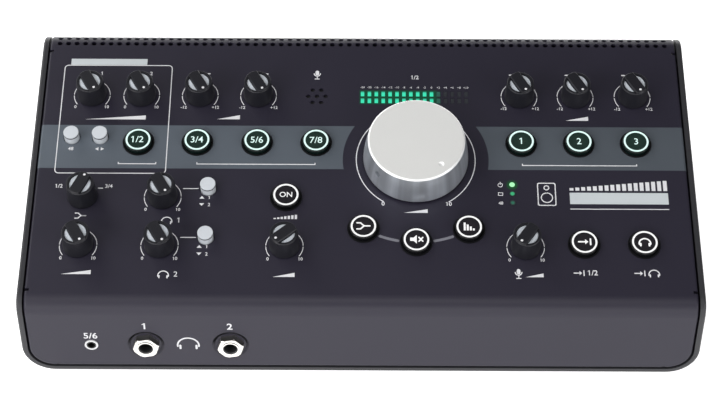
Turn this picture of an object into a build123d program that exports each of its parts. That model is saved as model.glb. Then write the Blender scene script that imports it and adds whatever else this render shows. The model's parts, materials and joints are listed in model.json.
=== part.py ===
from build123d import *
import os
from math import cos, degrees, radians, sin, tan

# A desktop monitor controller for a recording desk: a folded steel cover nested in a thick
# U-shaped tray, with knobs and lit keys on a sloping panel, headphone sockets on the front face
# and line sockets on the rear. Millimetres, +X to the user's right, +Y to the rear, +Z up.
# Panel places are (u, v): u to the right of the centre line, v up the slope from the front corner.

os.makedirs("parts", exist_ok=True)

# Shared by every piece
press_gap = 0.02          # beside a piece that is pushed onto its shaft
running_gap = 0.05        # beside a piece that turns
guide_gap = 0.1           # beside a piece that slides
hole_gap = 0.2            # around what passes through a hole without touching
screw_gap = 0.05
overrun = 1.0             # how far a cutting shape runs past the face that it opens
near = 0.01               # how closely an edge has to lie on the line that picks it

# Case
case_width = 345.0
panel_slope = 12.0        # degrees that the control panel rises towards the rear
front_lean = 3.0          # degrees that the front face leans back from upright
front_drop = 47.8         # down the front face, from its sharp top corner to the underside
panel_length = 174.9      # along the panel, from sharp front corner to sharp rear corner
front_bend = 9.0          # outer radius where the panel folds into the front face
rear_bend = 12.0          # outer radius where the panel folds down at the rear
tray_wall = 3.0
tray_corner = 16.0        # outer radius of the tray's two lower corners
rim_round = 1.3           # rounding of the tray's outer rim edge
cover_wall = 1.5
cover_gap = 0.75          # shadow line between cover and tray
relief_notch = 1.6        # width of the cut at each end of a folded flange
notch_depth = 2.4
side_flange_front = 10.0  # along the panel, where the cover's side flanges start
side_flange_back = 18.9   # along the panel, from their rear end to its rear corner
side_flange_depth = 10.0
lip_inset = 15.0          # from the tray's inside to each end of the flange under the front face
lip_depth = 11.0
rear_flange_drop = 10.0
flange_round = 1.3        # outer radius of the small flange folds
rear_wall = 1.5
rear_clearance = 0.4      # beside the rear panel
sill_depth = 12.0         # flange of the rear panel that lies on the tray floor

# The case's two sides, for what keeps its distance from them
left = -case_width / 2
right = case_width / 2

# Rows of controls, measured up the panel
back_row = panel_length - 47.1
key_row = panel_length - 77.1
front_row = 35.0
mid_share = 0.463         # how far the middle row lies from the front row towards the row of keys
mid_row = front_row + mid_share * (key_row - front_row)

# Small knobs
knob_base_r = 7.8
knob_top_r = 7.05
knob_lift = 0.9           # from the panel to the knob's lower edge
knob_rim = 13.0           # from the panel to the knob's rim
knob_top = 13.9           # from the panel to the top of its grip bar
knob_edge = 0.3
knob_bore_top = 10.0      # from the panel to the roof of the knob's bore
grip_width = 5.8          # bar that stands between the two pockets
pocket_r = 5.7
pocket_depth = 1.2        # below the rim
shaft_r = 3.0

# Volume knob
volume_u = 28.05
volume_v = key_row - 9.9
volume_base_r = 27.3
volume_waist_r = 26.5     # half way up: the side swells a little
volume_top_r = 24.9
volume_lift = 1.8
volume_top = 18.6
volume_chamfer = 0.7
volume_wall = 2.4
volume_roof = 3.0
hub_plate = 5.0
hub_boss_r = 6.0
hub_lift = 6.6            # from the panel to the hub boss's lower face
volume_bush_r = 4.5
volume_bush_top = 4.6
volume_nut_across = 12.0
volume_nut_height = 2.2
dimple_r = 1.5
dimple_depth = 0.55
dimple_reach = 19.4       # from the knob's centre
volume_pointer = 140.0    # degrees clockwise from straight up
grub_r = 1.5
grub_length = 4.0
grub_height = 12.0
grub_turn = 90.0          # degrees clockwise from the pointer

# Lit keys
key_cap_r = 7.2
key_top = 3.0
key_edge = 0.5
key_travel = 1.2
key_flange_r = 8.1
key_flange = 0.9
key_stem_r = 1.75
bezel_r = 8.3
bezel_height = 0.5
bezel_sleeve_r = 7.8
bezel_bore_r = 7.5
bezel_depth = 2.8

# Push switches with white caps
push_r = 3.95
push_neck_r = 3.3
push_top = 5.1
push_disc = 0.8           # thickness of the cap's top disc
push_groove = 0.5
push_edge = 0.2
push_hole_r = 4.4
push_travel = 2.0
push_stem = 3.6

# Boards
board_wall = 1.6
board_drop = 12.5         # from the panel's face down to the control board
board_side_gap = 11.5     # from the tray's inside to the boards' ends
board_front = 13.0
board_back_gap = 22.4     # along the panel, from the control board to the panel's rear corner
spacer_across = 5.5
spacer_inset = 6.0        # from a board's edges to the spacers beside them
board_screw_r = 1.45
board_head_r = 2.75
board_head = 1.8
board_screw_length = 6.0
main_board_top = 10.6     # from the case's underside
main_board_front = 60.0
main_board_gap = 3.0      # between the main board and the rear panel
socket_room = 40.0        # from the rear panel to the main board's rear spacers

# Switch and potentiometer bodies on the control board
pot_width = 9.8
pot_depth = 11.4
pot_height = 6.5
pot_bush_r = 3.5
bush_sink = 0.3           # a small bush stops this far below the panel's face
bore_floor = 1.5          # body left under a shaft's blind bore
volume_pot_size = 17.0
volume_pot_height = 8.6
tact_size = 6.4
tact_height = 4.4
tact_floor = 1.2
latch_size = 8.4
latch_height = 8.2
latch_floor = 1.2

# Meter, lamps and talkback microphone
meter_first_u = 0.17
meter_pitch = 3.67
meter_columns = 16
meter_rows = (back_row - 2.7, back_row + 1.7)
window_width = 2.0
window_height = 3.2
window_gap = 0.08
light_wall = 1.6
light_margin = 5.0
lamp_u = right - 94.8
lamp_rows = (mid_row + 8.3, mid_row + 2.8, mid_row - 2.7)
lamp_r = 1.5
lamp_flange_r = 2.3
lamp_proud = 0.3
mic_u = -24.06
mic_hole_r = 1.2
mic_pitch = 4.6
mic_r = 5.9
mic_height = 5.6
boot_wall = 1.2

# Vent holes on the rear bend
vent_columns = 72
vent_margin = 5.45        # from the outermost holes to the cover's sides
vent_row_pitch = 4.6
vent_r = 1.4
vent_rows = 3
vent_first = 1.9          # along the bend, from where it starts to the first row
vent_shift = -0.2         # the pattern's middle, right of the centre line

# Front sockets, measured down the front face
socket_row = 28.3
phones_us = (left + 63.5, left + 106.4)
mini_u = left + 35.75
jack_bore_r = 3.2
jack_mouth = 0.55
jack_bush_r = 4.5
jack_nut_across = 12.0
jack_nut_height = 3.6
nut_bevel = 0.6
nut_turn = 12.0           # degrees that the front nuts are turned
bush_proud = 0.25
jack_width = 15.6
jack_height = 14.0
jack_length = 26.0
jack_bore_length = 30.0
dish_r = 9.2
dish_floor_r = 7.9
dish_depth = 0.9
mini_bore_r = 1.8
mini_ring_r = 3.4
mini_ring = 0.5
mini_bush_r = 2.9
mini_width = 7.0
mini_height = 6.0
mini_length = 13.0
mini_bore_length = 12.5
front_board_margin = 10.7  # from the outer sockets' axes to the ends of the board that carries them
front_board_depth = 25.0

# Rear sockets
rear_rows = (18.5, 42.0)
rear_jack_first = left + 94.5
rear_jack_last = right - 106.5
rear_jack_columns = 7
combo_xs = (left + 30.5, left + 61.5)
combo_z = 26.5
combo_nose_r = 12.0
combo_width = 26.0
combo_height = 31.0
combo_length = 33.0
combo_proud = 1.4
combo_pin_r = 1.5
combo_pin_ring = 7.6
combo_pin_turns = (55.0, 180.0, 305.0)
combo_pin_depth = 14.0
usb_x = right - 78.5
usb_width = 12.0
usb_height = 11.0
usb_length = 16.0
usb_mouth = 8.4
usb_tongue = 3.0
usb_tongue_width = 5.6
usb_wall = 1.2
usb_proud = 0.3
inlet_x = right - 55.5
inlet_width = 9.0
inlet_height = 11.0
inlet_length = 14.0
inlet_bore_r = 3.15
inlet_pin_r = 1.05
switch_x = right - 28.5
switch_z = 26.5
switch_width = 21.0
switch_height = 15.0
switch_flange = 1.6
switch_rim = 1.8
switch_length = 15.0
switch_wall = 1.5
rocker_gap = 0.3
rocker_side_gap = 1.0
rocker_pivot = 2.5        # inside the rear panel's face
rocker_keel = 0.5
rocker_tip = 5.0
rocker_waist = 4.0
rocker_tilt = 8.0         # degrees each way from the middle
rocker_pin_r = 1.5

# Feet and case screws
foot_r = 6.5
foot_height = 3.0
foot_recess = 1.0
foot_bevel = 0.6
foot_inset = 26.5         # from the case's sides
foot_front = 16.0
foot_back = 17.1          # from the panel's rear corner
case_screw_r = 1.6
case_head_r = 3.0
case_head = 1.6
case_screw_length = 7.0
bottom_screw_xs = (left + 37.5, -48.0, 48.0, right - 37.5)
flange_screw_xs = (left + 22.5, -50.0, 50.0, right - 22.5)

# Small knobs: place on the panel, and where the pointer stands in degrees clockwise from straight up
small_knobs = {
    "gain_knob_1": (left + 29.0, back_row, 150),
    "gain_knob_2": (left + 55.3, back_row, 150),
    "source_trim_knob_1": (left + 86.4, back_row, 150),
    "source_trim_knob_2": (left + 117.4, back_row, 150),
    "monitor_trim_knob_a": (right - 89.2, back_row, 150),
    "monitor_trim_knob_b": (right - 59.4, back_row, 150),
    "monitor_trim_knob_c": (right - 29.1, back_row, 150),
    "cue_source_knob": (left + 28.8, mid_row, 25),
    "phones_knob_1": (left + 70.1, mid_row, 150),
    "direct_monitoring_knob": (left + 28.8, front_row, 150),
    "phones_knob_2": (left + 70.1, front_row, 150),
    "studio_level_knob": (left + 133.5, front_row, -130),
    "talkback_level_knob": (right - 89.2, front_row, -145),
}
lit_keys = {
    "input_key": (left + 55.5, key_row),
    "source_key_a": (left + 86.3, key_row),
    "source_key_b": (left + 117.6, key_row),
    "source_key_c": (left + 148.5, key_row),
    "monitor_key_a": (right - 89.2, key_row),
    "monitor_key_b": (right - 59.1, key_row),
    "monitor_key_c": (right - 29.3, key_row),
    "studio_on_key": (left + 133.6, mid_row),
    "mono_key": (volume_u - 27.05, volume_v - 42.5),
    "mute_key": (volume_u - 0.15, volume_v - 50.3),
    "dim_key": (volume_u + 26.75, volume_v - 42.6),
    "talk_to_track_key": (right - 59.5, front_row + 1.6),
    "talk_to_cue_key": (right - 29.0, front_row + 1.6),
}
push_buttons = {
    "phantom_power_button": (left + 20.4, key_row + 3.0),
    "stereo_pan_button": (left + 35.3, key_row + 3.0),
    "phones_source_button_1": (left + 93.3, mid_row + 5.2),
    "phones_source_button_2": (left + 93.3, front_row + 4.9),
}

# Worked out from the values above
slope = radians(panel_slope)
lean = radians(front_lean)
corner_z = front_drop * cos(lean)
rear_y = panel_length * cos(slope)
rear_corner_z = corner_z + panel_length * sin(slope)
inner_half = case_width / 2 - tray_wall
cover_half = inner_half - cover_gap
rear_bend_drop = rear_bend * tan(radians(90 + panel_slope) / 2)
flange_z = rear_corner_z - rear_bend_drop - rear_flange_drop
rear_face_y = rear_y - cover_wall
rear_inner_y = rear_face_y - rear_wall
board_top = -board_drop
jack_seat = cover_wall + dish_depth
lip_y = lip_depth / 2
sill_y = rear_inner_y - sill_depth / 2
lip_half = inner_half - lip_inset
side_flange_rear = panel_length - side_flange_back
vent_pitch = 2 * (cover_half - vent_margin) / (vent_columns - 1)
rear_jack_pitch = (rear_jack_last - rear_jack_first) / (rear_jack_columns - 1)
foot_x = case_width / 2 - foot_inset
foot_rear = rear_y - foot_back
board_half = inner_half - board_side_gap
front_board_half = (phones_us[1] - mini_u) / 2 + front_board_margin
board_rear = panel_length - board_back_gap
spacer_half = board_half - spacer_inset
spacer_us = (-spacer_half, left + 102.5, -18.0, right - 104.5, spacer_half)
spacer_vs = (board_front + spacer_inset, board_rear - spacer_inset)
main_spacer_xs = (-spacer_half, 0.0, spacer_half)
main_spacer_ys = (main_board_front + spacer_inset, rear_inner_y - socket_room)

panel = Plane((0, 0, corner_z), x_dir=(1, 0, 0), z_dir=(0, -sin(slope), cos(slope))).location
front = Plane((0, 0, corner_z), x_dir=(1, 0, 0), z_dir=(0, -cos(lean), sin(lean))).location
rear = Plane((0, rear_face_y, 0), x_dir=(-1, 0, 0), z_dir=(0, 1, 0)).location


def on_panel(u, v, height=0.0):
    """Place on the control panel, its z pointing out of the panel."""
    return panel * Pos(u, v, height)


def on_front(u):
    """Place on the front face, on the sockets' line, its z pointing out of the face."""
    return front * Pos(u, -socket_row, 0)


def on_rear(x, z):
    """Place on the rear panel's outer face, its z pointing out of the face."""
    return rear * Pos(-x, z, 0)


volume_place = on_panel(volume_u, volume_v)
mic_place = on_panel(mic_u, back_row)
usb_place = on_rear(usb_x, main_board_top + usb_height / 2)
inlet_place = on_rear(inlet_x, main_board_top + inlet_height / 2)
switch_place = on_rear(switch_x, switch_z)

nodes = {}


def keep(name, shapes):
    """Store one node's separate solids under its name."""
    group = shapes if isinstance(shapes, list) else [shapes]
    nodes[name] = [solid for shape in group for solid in shape.solids()]


def rod(place, radius, low, high):
    """Cylinder about a place's own z, between two heights."""
    return place * Pos(0, 0, (low + high) / 2) * Cylinder(radius, high - low)


def block(place, width, depth, low, high):
    """Box centred on a place, between two heights."""
    return place * Pos(0, 0, (low + high) / 2) * Box(width, depth, high - low)


def tube(place, outer, inner, low, high):
    """Ring between two radii and two heights."""
    return rod(place, outer, low, high) - rod(place, inner, low - overrun, high + overrun)


def hexagon(place, across, low, high):
    """Hexagonal prism, sized across its flats."""
    face = RegularPolygon(across / 2, 6, major_radius=False)
    return place * Pos(0, 0, low) * extrude(face, high - low)


def spun(place, points):
    """Solid of revolution about a place's z, from (radius, height) points."""
    outline = make_face(Polyline([(r, 0, z) for r, z in points], close=True))
    return place * revolve(outline, Axis.Z)


def screw(place, radius, head_r, head, length):
    """Screw whose head stands on the place and whose shank points down, with a cross slot."""
    body = rod(place, head_r, 0, head) + rod(place, radius, -length, 0)
    slot = Box(head_r, head_r / 4, head) + Box(head_r / 4, head_r, head)
    return body - place * Pos(0, 0, head) * slot


def side_corners(inset):
    """The case's two sharp top corners as (y, z), moved in by inset from both of their faces."""
    front_in = Vector(cos(lean), -sin(lean))
    panel_in = Vector(sin(slope), -cos(slope))
    rear_in = Vector(-1, 0)
    low = Vector(0, corner_z) + (front_in + panel_in) * (inset / (1 + front_in.dot(panel_in)))
    high = Vector(rear_y, rear_corner_z) + (panel_in + rear_in) * (inset / (1 + panel_in.dot(rear_in)))
    return low, high


def side_prism(inset, floor, half):
    """The case's side outline as a bar along X: moved in by inset, open down to a floor height."""
    low, high = side_corners(inset)
    toe = (low.X - (low.Y - floor) * tan(lean), floor)
    line = Polyline(toe, (low.X, low.Y), (high.X, high.Y), (high.X, floor), close=True)
    face = make_face(Plane.YZ * line)
    front_corner = face.vertices().sort_by(Axis.Y)[:2].sort_by(Axis.Z)[-1]
    face = fillet(front_corner, front_bend - inset)
    face = fillet(face.vertices().sort_by(Axis.Z)[-1], rear_bend - inset)
    return extrude(face, half, both=True)


def trough(inset):
    """The U-shaped tray's outline as a long bar along Y, moved in by inset and open upwards."""
    half = case_width / 2 - inset
    top = 2 * rear_corner_z
    line = Polyline((-half, top), (-half, inset), (half, inset), (half, top), close=True)
    face = make_face(Plane.XZ * line)
    corners = face.vertices().sort_by(Axis.Z)[:2]
    return extrude(fillet(corners, tray_corner - inset), 2 * rear_y, both=True)


def flange_y(z):
    """Where the front face's outside stands at a height."""
    return -(corner_z - z) * tan(lean)


def floor_screws(y):
    """Places of a row of screws that come up through the tray floor."""
    return [Pos(x, y, 0) for x in bottom_screw_xs]


def main_spacers():
    """Places of the spacers on the tray floor."""
    return [Pos(x, y, tray_wall) for x in main_spacer_xs for y in main_spacer_ys]


def hanging_spacers():
    """Places of the spacers under the cover."""
    return [panel * Pos(u, v, 0) for u in spacer_us for v in spacer_vs]


def flange_screws():
    """Places of the screws through the cover's rear flange."""
    height = flange_z + rear_flange_drop / 2
    return [rear * Pos(-x, height, 0) for x in flange_screw_xs]


def feet():
    """Places of the feet."""
    return [Pos(x, y, 0) for x in (-foot_x, foot_x) for y in (foot_front, foot_rear)]


def rear_jacks():
    """Axes of the line sockets, on the rear panel's face, in columns of two."""
    xs = [rear_jack_first + i * rear_jack_pitch for i in range(rear_jack_columns)]
    return [[rear * Pos(-x, z, 0) for z in rear_rows] for x in xs]


def meter_windows():
    """Places of the meter's windows."""
    columns = range(meter_columns)
    return [panel * Pos(meter_first_u + i * meter_pitch, v, 0) for i in columns for v in meter_rows]


def mic_holes():
    """Places of the talkback microphone's holes: one in the middle and six around it."""
    return [mic_place] + [mic_place * Rot(0, 0, 60 * i) * Pos(mic_pitch, 0, 0) for i in range(6)]


def vent(column, row):
    """One vent hole on the rear bend."""
    u = vent_shift + (column - (vent_columns - 1) / 2) * vent_pitch
    turn = degrees((vent_first + row * vent_row_pitch) / rear_bend)
    place = panel * Pos(u, panel_length - rear_bend_drop, -rear_bend) * Rot(-turn, 0, 0)
    return rod(place, vent_r, rear_bend - 2 * cover_wall, rear_bend + 1)


def is_rim(edge, outline):
    """Whether an edge of the tray lies between its outside and its cut rim."""
    middle = edge.position_at(0.5)
    past = abs(middle.X) - (case_width / 2 - tray_corner)
    under = tray_corner - middle.Z
    depth = tray_corner - max(past, under)
    if past > 0 and under > 0:
        depth = tray_corner - (past**2 + under**2) ** 0.5
    runs_back = abs(edge.tangent_at(0.5).Y) > cos(radians(near))
    on_outline = outline.distance_to(Vertex(1, middle.Y, middle.Z)) < near
    return abs(depth) < near and on_outline and not (runs_back and middle.Z < near)


def is_fold(edge):
    """Whether an edge of the cover is the outside of a small flange fold."""
    middle = edge.position_at(0.5)
    toe = tray_wall + cover_gap
    under = abs(middle.Z - toe) < near and abs(middle.Y - flange_y(toe)) < near
    ridge = corner_z + middle.Y * tan(slope)
    beside = abs(abs(middle.X) - cover_half) < near and abs(middle.Z - ridge) < near
    return (under or beside) and edge.length > (side_flange_rear - side_flange_front) / 2


def make_tray():
    """Thick U-shaped tray: a floor and two side walls whose rim follows the side outline."""
    shell = (trough(0) - trough(tray_wall)) & side_prism(0, 0, case_width)
    outline = side_prism(0, 0, 1).faces().sort_by(Axis.X)[-1].outer_wire()
    shell = fillet(shell.edges().filter_by(lambda edge: is_rim(edge, outline)), rim_round)
    low = tray_wall / 2
    shell += [rod(place, 2 * case_screw_r, low, tray_wall + cover_gap) for place in floor_screws(lip_y)]
    both = floor_screws(lip_y) + floor_screws(sill_y)
    holes = [rod(place, case_screw_r + screw_gap, -overrun, 2 * tray_wall) for place in both]
    holes += [rod(place, foot_r + screw_gap, -overrun, foot_recess) for place in feet()]
    keep("base_tray", shell - holes)


def panel_cuts():
    """Everything that is cut through the panel for its controls."""
    low = -2 * cover_wall
    cuts = [rod(on_panel(u, v), pot_bush_r + hole_gap, low, overrun) for u, v, _ in small_knobs.values()]
    cuts += [rod(on_panel(u, v), bezel_sleeve_r + hole_gap, low, overrun) for u, v in lit_keys.values()]
    cuts += [rod(on_panel(u, v), push_hole_r, low, overrun) for u, v in push_buttons.values()]
    cuts += [rod(volume_place, volume_bush_r + hole_gap, low, overrun)]
    cuts += [block(place, window_width, window_height, low, overrun) for place in meter_windows()]
    cuts += [rod(on_panel(lamp_u, v), lamp_r + window_gap, low, overrun) for v in lamp_rows]
    cuts += [rod(place, mic_hole_r, low, overrun) for place in mic_holes()]
    return cuts


def make_cover():
    """Folded steel cover: front face, control panel, vented rear bend and its flanges."""
    outside = side_prism(0, 0, case_width)
    shell = outside - side_prism(cover_wall, -rear_y, case_width)
    shell = shell & trough(tray_wall + cover_gap)
    shell -= Pos(0, rear_y, 0) * Box(case_width, 2 * rear_bend, 2 * flange_z)
    toe = tray_wall + cover_gap
    lip = Pos(0, flange_y(toe) + lip_depth / 2, toe + cover_wall / 2)
    lip = lip * Box(2 * lip_half, lip_depth, cover_wall)
    shell += lip & outside
    length = side_flange_rear - side_flange_front
    for side in (-1, 1):
        middle = on_panel(side * (cover_half - cover_wall / 2), side_flange_front + length / 2)
        shell += block(middle, cover_wall, length, -side_flange_depth, -cover_wall / 2)
    shell = fillet(shell.edges().filter_by(is_fold), flange_round)
    cuts = []
    for side in (-1, 1):
        for v in (side_flange_front - relief_notch / 2, side_flange_rear + relief_notch / 2):
            corner = on_panel(side * cover_half, v)
            cuts.append(block(corner, 2 * notch_depth, relief_notch, -notch_depth, overrun))
        x = side * (lip_half + relief_notch / 2)
        cuts.append(Pos(x, flange_y(toe), toe) * Box(relief_notch, 4 * cover_wall, notch_depth))
    for u in phones_us:
        place = on_front(u)
        shell += rod(place, dish_r, -cover_wall - dish_depth, -cover_wall / 2)
        cone = [(0, -dish_depth), (dish_floor_r, -dish_depth), (dish_r, 0), (dish_r, overrun), (0, overrun)]
        cuts.append(spun(place, cone))
        cuts.append(rod(place, jack_bush_r + hole_gap, -2 * dish_depth - cover_wall, overrun))
    cuts.append(rod(on_front(mini_u), mini_bush_r + hole_gap, -2 * cover_wall, overrun))
    cuts += [rod(place, case_screw_r + screw_gap, -overrun, 2 * tray_wall) for place in floor_screws(lip_y)]
    cuts += [rod(place, case_screw_r + screw_gap, -overrun, 2 * cover_wall) for place in flange_screws()]
    cuts += [vent(i, j) for i in range(vent_columns) for j in range(vent_rows)]
    keep("top_cover", shell - (cuts + panel_cuts()))


def make_rear_panel():
    """Upright rear panel with a foot on the tray floor and the socket holes."""
    half = inner_half - rear_clearance
    top = rear_corner_z - rear_bend_drop - cover_gap
    sheet = Pos(0, rear_face_y - rear_wall / 2, (top + tray_wall) / 2)
    sheet = sheet * Box(2 * half, rear_wall, top - tray_wall)
    sill = Pos(0, rear_inner_y - sill_depth / 2, tray_wall + rear_wall / 2)
    sheet += sill * Box(2 * lip_half, sill_depth, rear_wall)
    sheet = sheet & trough(tray_wall)
    low = -2 * rear_wall
    wider = 2 * hole_gap
    cuts = [rod(place, jack_bush_r + hole_gap, low, overrun) for column in rear_jacks() for place in column]
    cuts += [rod(on_rear(x, combo_z), combo_nose_r + hole_gap, low, overrun) for x in combo_xs]
    cuts.append(block(usb_place, usb_width + wider, usb_height + wider, low, overrun))
    cuts.append(block(inlet_place, inlet_width + wider, inlet_height + wider, low, overrun))
    cuts.append(block(switch_place, switch_width + wider, switch_height + wider, low, overrun))
    cuts += [rod(place, case_screw_r + screw_gap, low, overrun) for place in flange_screws()]
    cuts += [rod(place, case_screw_r + screw_gap, 0, 2 * tray_wall) for place in floor_screws(sill_y)]
    keep("rear_panel", sheet - cuts)


def make_boards():
    """Control board under the panel, main board on the tray and the front socket board."""
    length = board_rear - board_front
    sheet = block(on_panel(0, board_front + length / 2), 2 * board_half, length,
                  board_top - board_wall, board_top)
    holes = [rod(place, board_screw_r + screw_gap, 2 * board_top, 0) for place in hanging_spacers()]
    keep("control_board", sheet - holes)
    length = rear_inner_y - main_board_gap - main_board_front
    sheet = Pos(0, main_board_front + length / 2, main_board_top - board_wall / 2)
    sheet = sheet * Box(2 * board_half, length, board_wall)
    holes = [rod(place, board_screw_r + screw_gap, 0, main_board_top) for place in main_spacers()]
    keep("main_board", sheet - holes)
    drop = (jack_height + board_wall) / 2
    middle = front * Pos((mini_u + phones_us[1]) / 2, -socket_row - drop, 0)
    low = -jack_seat - front_board_depth
    keep("front_socket_board", block(middle, 2 * front_board_half, board_wall, low, -jack_seat))


def make_fasteners():
    """Hexagonal spacers, board screws, case screws and feet."""
    spacers = []
    screws = []
    for place in hanging_spacers():
        body = hexagon(place, spacer_across, board_top, -cover_wall)
        thread_top = board_top + board_screw_length
        spacers.append(body - rod(place, board_screw_r + screw_gap, board_top - overrun, thread_top))
        low = place * Pos(0, 0, board_top - board_wall) * Rot(180, 0, 0)
        screws.append(screw(low, board_screw_r, board_head_r, board_head, board_screw_length))
    for place in main_spacers():
        height = main_board_top - board_wall - tray_wall
        body = hexagon(place, spacer_across, 0, height)
        spacers.append(body - rod(place, board_screw_r + screw_gap, -overrun, height + overrun))
        high = place * Pos(0, 0, height + board_wall)
        screws.append(screw(high, board_screw_r, board_head_r, board_head, board_screw_length))
    keep("board_spacers", spacers)
    keep("board_screws", screws)
    places = [place * Rot(180, 0, 0) for place in floor_screws(lip_y) + floor_screws(sill_y)]
    places += [place * Pos(0, 0, cover_wall) for place in flange_screws()]
    keep("case_screws", [screw(place, case_screw_r, case_head_r, case_head, case_screw_length)
                         for place in places])
    soles = [rod(place, foot_r, -foot_height, foot_recess) for place in feet()]
    keep("rubber_feet", [chamfer(sole.edges().sort_by(Axis.Z)[0], foot_bevel) for sole in soles])


def pot_body(place, width, depth, height, bush_r, bush_top):
    """Potentiometer body with its bush and the bore that its shaft turns in."""
    body = block(place, width, depth, board_top, board_top + height)
    body += rod(place, bush_r, board_top + height / 2, bush_top)
    return body - rod(place, shaft_r + running_gap, board_top + bore_floor, bush_top + overrun)


def shaft(place, top):
    """Turning shaft from a potentiometer's bore floor up into its knob."""
    return rod(place, shaft_r, board_top + bore_floor + running_gap, top)


def make_potentiometers():
    """Bodies behind the thirteen small knobs and behind the volume knob."""
    bodies = {}
    for name, (u, v, _) in small_knobs.items():
        bodies[name] = pot_body(on_panel(u, v), pot_width, pot_depth, pot_height, pot_bush_r, -bush_sink)
    keep("cue_selector_switch", bodies.pop("cue_source_knob"))
    keep("potentiometers", list(bodies.values()))
    body = pot_body(volume_place, volume_pot_size, volume_pot_size, volume_pot_height,
                    volume_bush_r, volume_bush_top)
    keep("volume_potentiometer", body)
    nut = hexagon(volume_place, volume_nut_across, 0, volume_nut_height)
    keep("volume_nut", nut - rod(volume_place, volume_bush_r + screw_gap, -overrun, 2 * volume_nut_height))


def small_knob(place):
    """Tapered knob whose grip bar rises between two pockets, and the shaft that it is pushed onto."""
    shoulder = knob_rim - knob_edge
    flat_r = knob_top_r - knob_edge
    skirt = [(0, knob_lift), (knob_base_r, knob_lift), (knob_top_r, shoulder), (flat_r, knob_rim)]
    body = spun(Pos(0, 0, 0), skirt + [(0, knob_rim)])
    pockets = Circle(pocket_r) - Rectangle(grip_width, 3 * pocket_r)
    body -= Pos(0, 0, knob_rim - pocket_depth) * extrude(pockets, 2 * pocket_depth)
    bar = Circle(flat_r) & Rectangle(grip_width, 3 * knob_top_r)
    bar = Pos(0, 0, knob_bore_top) * extrude(bar, knob_top - knob_bore_top)
    body += chamfer(bar.faces().sort_by(Axis.Z)[-1].edges(), knob_edge)
    body -= rod(Pos(0, 0, 0), shaft_r + press_gap, 0, knob_bore_top)
    return [place * body, shaft(place, knob_bore_top)]


def make_small_knobs():
    """Every small knob, turned to where its pointer stands."""
    for name, (u, v, pointer) in small_knobs.items():
        keep(name, small_knob(on_panel(u, v) * Rot(0, 0, -pointer)))


def make_volume_knob():
    """Turned aluminium volume knob, its moulded hub, shaft and grub screw."""
    place = volume_place * Rot(0, 0, -volume_pointer)
    half_way = (volume_lift + volume_top) / 2
    side = ThreePointArc((volume_base_r, 0, volume_lift), (volume_waist_r, 0, half_way),
                         (volume_top_r, 0, volume_top))
    rest = Polyline((volume_top_r, 0, volume_top), (0, 0, volume_top), (0, 0, volume_lift),
                    (volume_base_r, 0, volume_lift))
    body = revolve(make_face(side + rest), Axis.Z)
    body = chamfer(body.edges().sort_by(Axis.Z)[-1], volume_chamfer)
    roof = volume_top - volume_roof
    cavity_r = volume_top_r - volume_wall
    body -= rod(Pos(0, 0, 0), cavity_r, 0, roof)
    ball_r = (dimple_r**2 + dimple_depth**2) / (2 * dimple_depth)
    body -= Pos(0, dimple_reach, volume_top + ball_r - dimple_depth) * Sphere(ball_r)
    grub = Pos(0, 0, grub_height) * Rot(0, 0, -grub_turn) * Rot(-90, 0, 0)
    body -= rod(grub, grub_r + hole_gap, cavity_r / 2, 2 * volume_base_r)
    hub = rod(Pos(0, 0, 0), cavity_r - press_gap, roof - hub_plate, roof)
    hub += rod(Pos(0, 0, 0), hub_boss_r, hub_lift, roof)
    hub -= rod(Pos(0, 0, 0), shaft_r + press_gap, 0, roof - hole_gap)
    hub -= rod(grub, grub_r, shaft_r / 2, 2 * volume_base_r)
    pin = rod(grub, grub_r - press_gap, shaft_r + press_gap, shaft_r + press_gap + grub_length)
    keep("volume_knob", place * body)
    keep("volume_knob_hub", [place * hub, shaft(volume_place, roof - hole_gap), place * pin])


def make_keys():
    """Lit keys, each with its bezel in the panel and its switch on the control board."""
    bezels = []
    switches = []
    for name, (u, v) in lit_keys.items():
        place = on_panel(u, v)
        cap = rod(place, key_cap_r, -bezel_depth - hole_gap, key_top)
        cap = fillet(cap.edges().sort_by_distance(on_panel(u, v, 2 * key_top).position)[0], key_edge)
        flange_top = -bezel_depth - hole_gap
        stem_foot = board_top + tact_floor + key_travel + hole_gap
        cap += rod(place, key_flange_r, flange_top - key_flange, flange_top)
        cap += rod(place, key_stem_r, stem_foot, flange_top)
        keep(name, cap)
        bezels.append(tube(place, bezel_r, bezel_bore_r, 0, bezel_height)
                      + tube(place, bezel_sleeve_r, bezel_bore_r, -bezel_depth, 0))
        well = rod(place, key_stem_r + guide_gap, board_top + tact_floor, 0)
        switches.append(block(place, tact_size, tact_size, board_top, board_top + tact_height) - well)
    keep("key_bezels", bezels)
    keep("key_switches", switches)


def make_push_buttons():
    """White push buttons with a groove under the top disc, and their latching switches."""
    switches = []
    for name, (u, v) in push_buttons.items():
        place = on_panel(u, v)
        disc = rod(place, push_r, push_top - push_disc, push_top)
        disc = fillet(disc.edges().filter_by(GeomType.CIRCLE), push_edge)
        neck_low = push_top - push_disc - push_groove
        low = board_top + latch_height + push_travel + hole_gap
        cap = disc + rod(place, push_neck_r, low, push_top - push_disc / 2)
        cap += rod(place, push_r, low, neck_low)
        stem_foot = board_top + latch_floor + push_travel + hole_gap
        cap += block(place, push_stem, push_stem, stem_foot, low)
        keep(name, cap)
        side = push_stem + 2 * guide_gap
        well = block(place, side, side, board_top + latch_floor, 0)
        switches.append(block(place, latch_size, latch_size, board_top, board_top + latch_height) - well)
    keep("latching_switches", switches)


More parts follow.
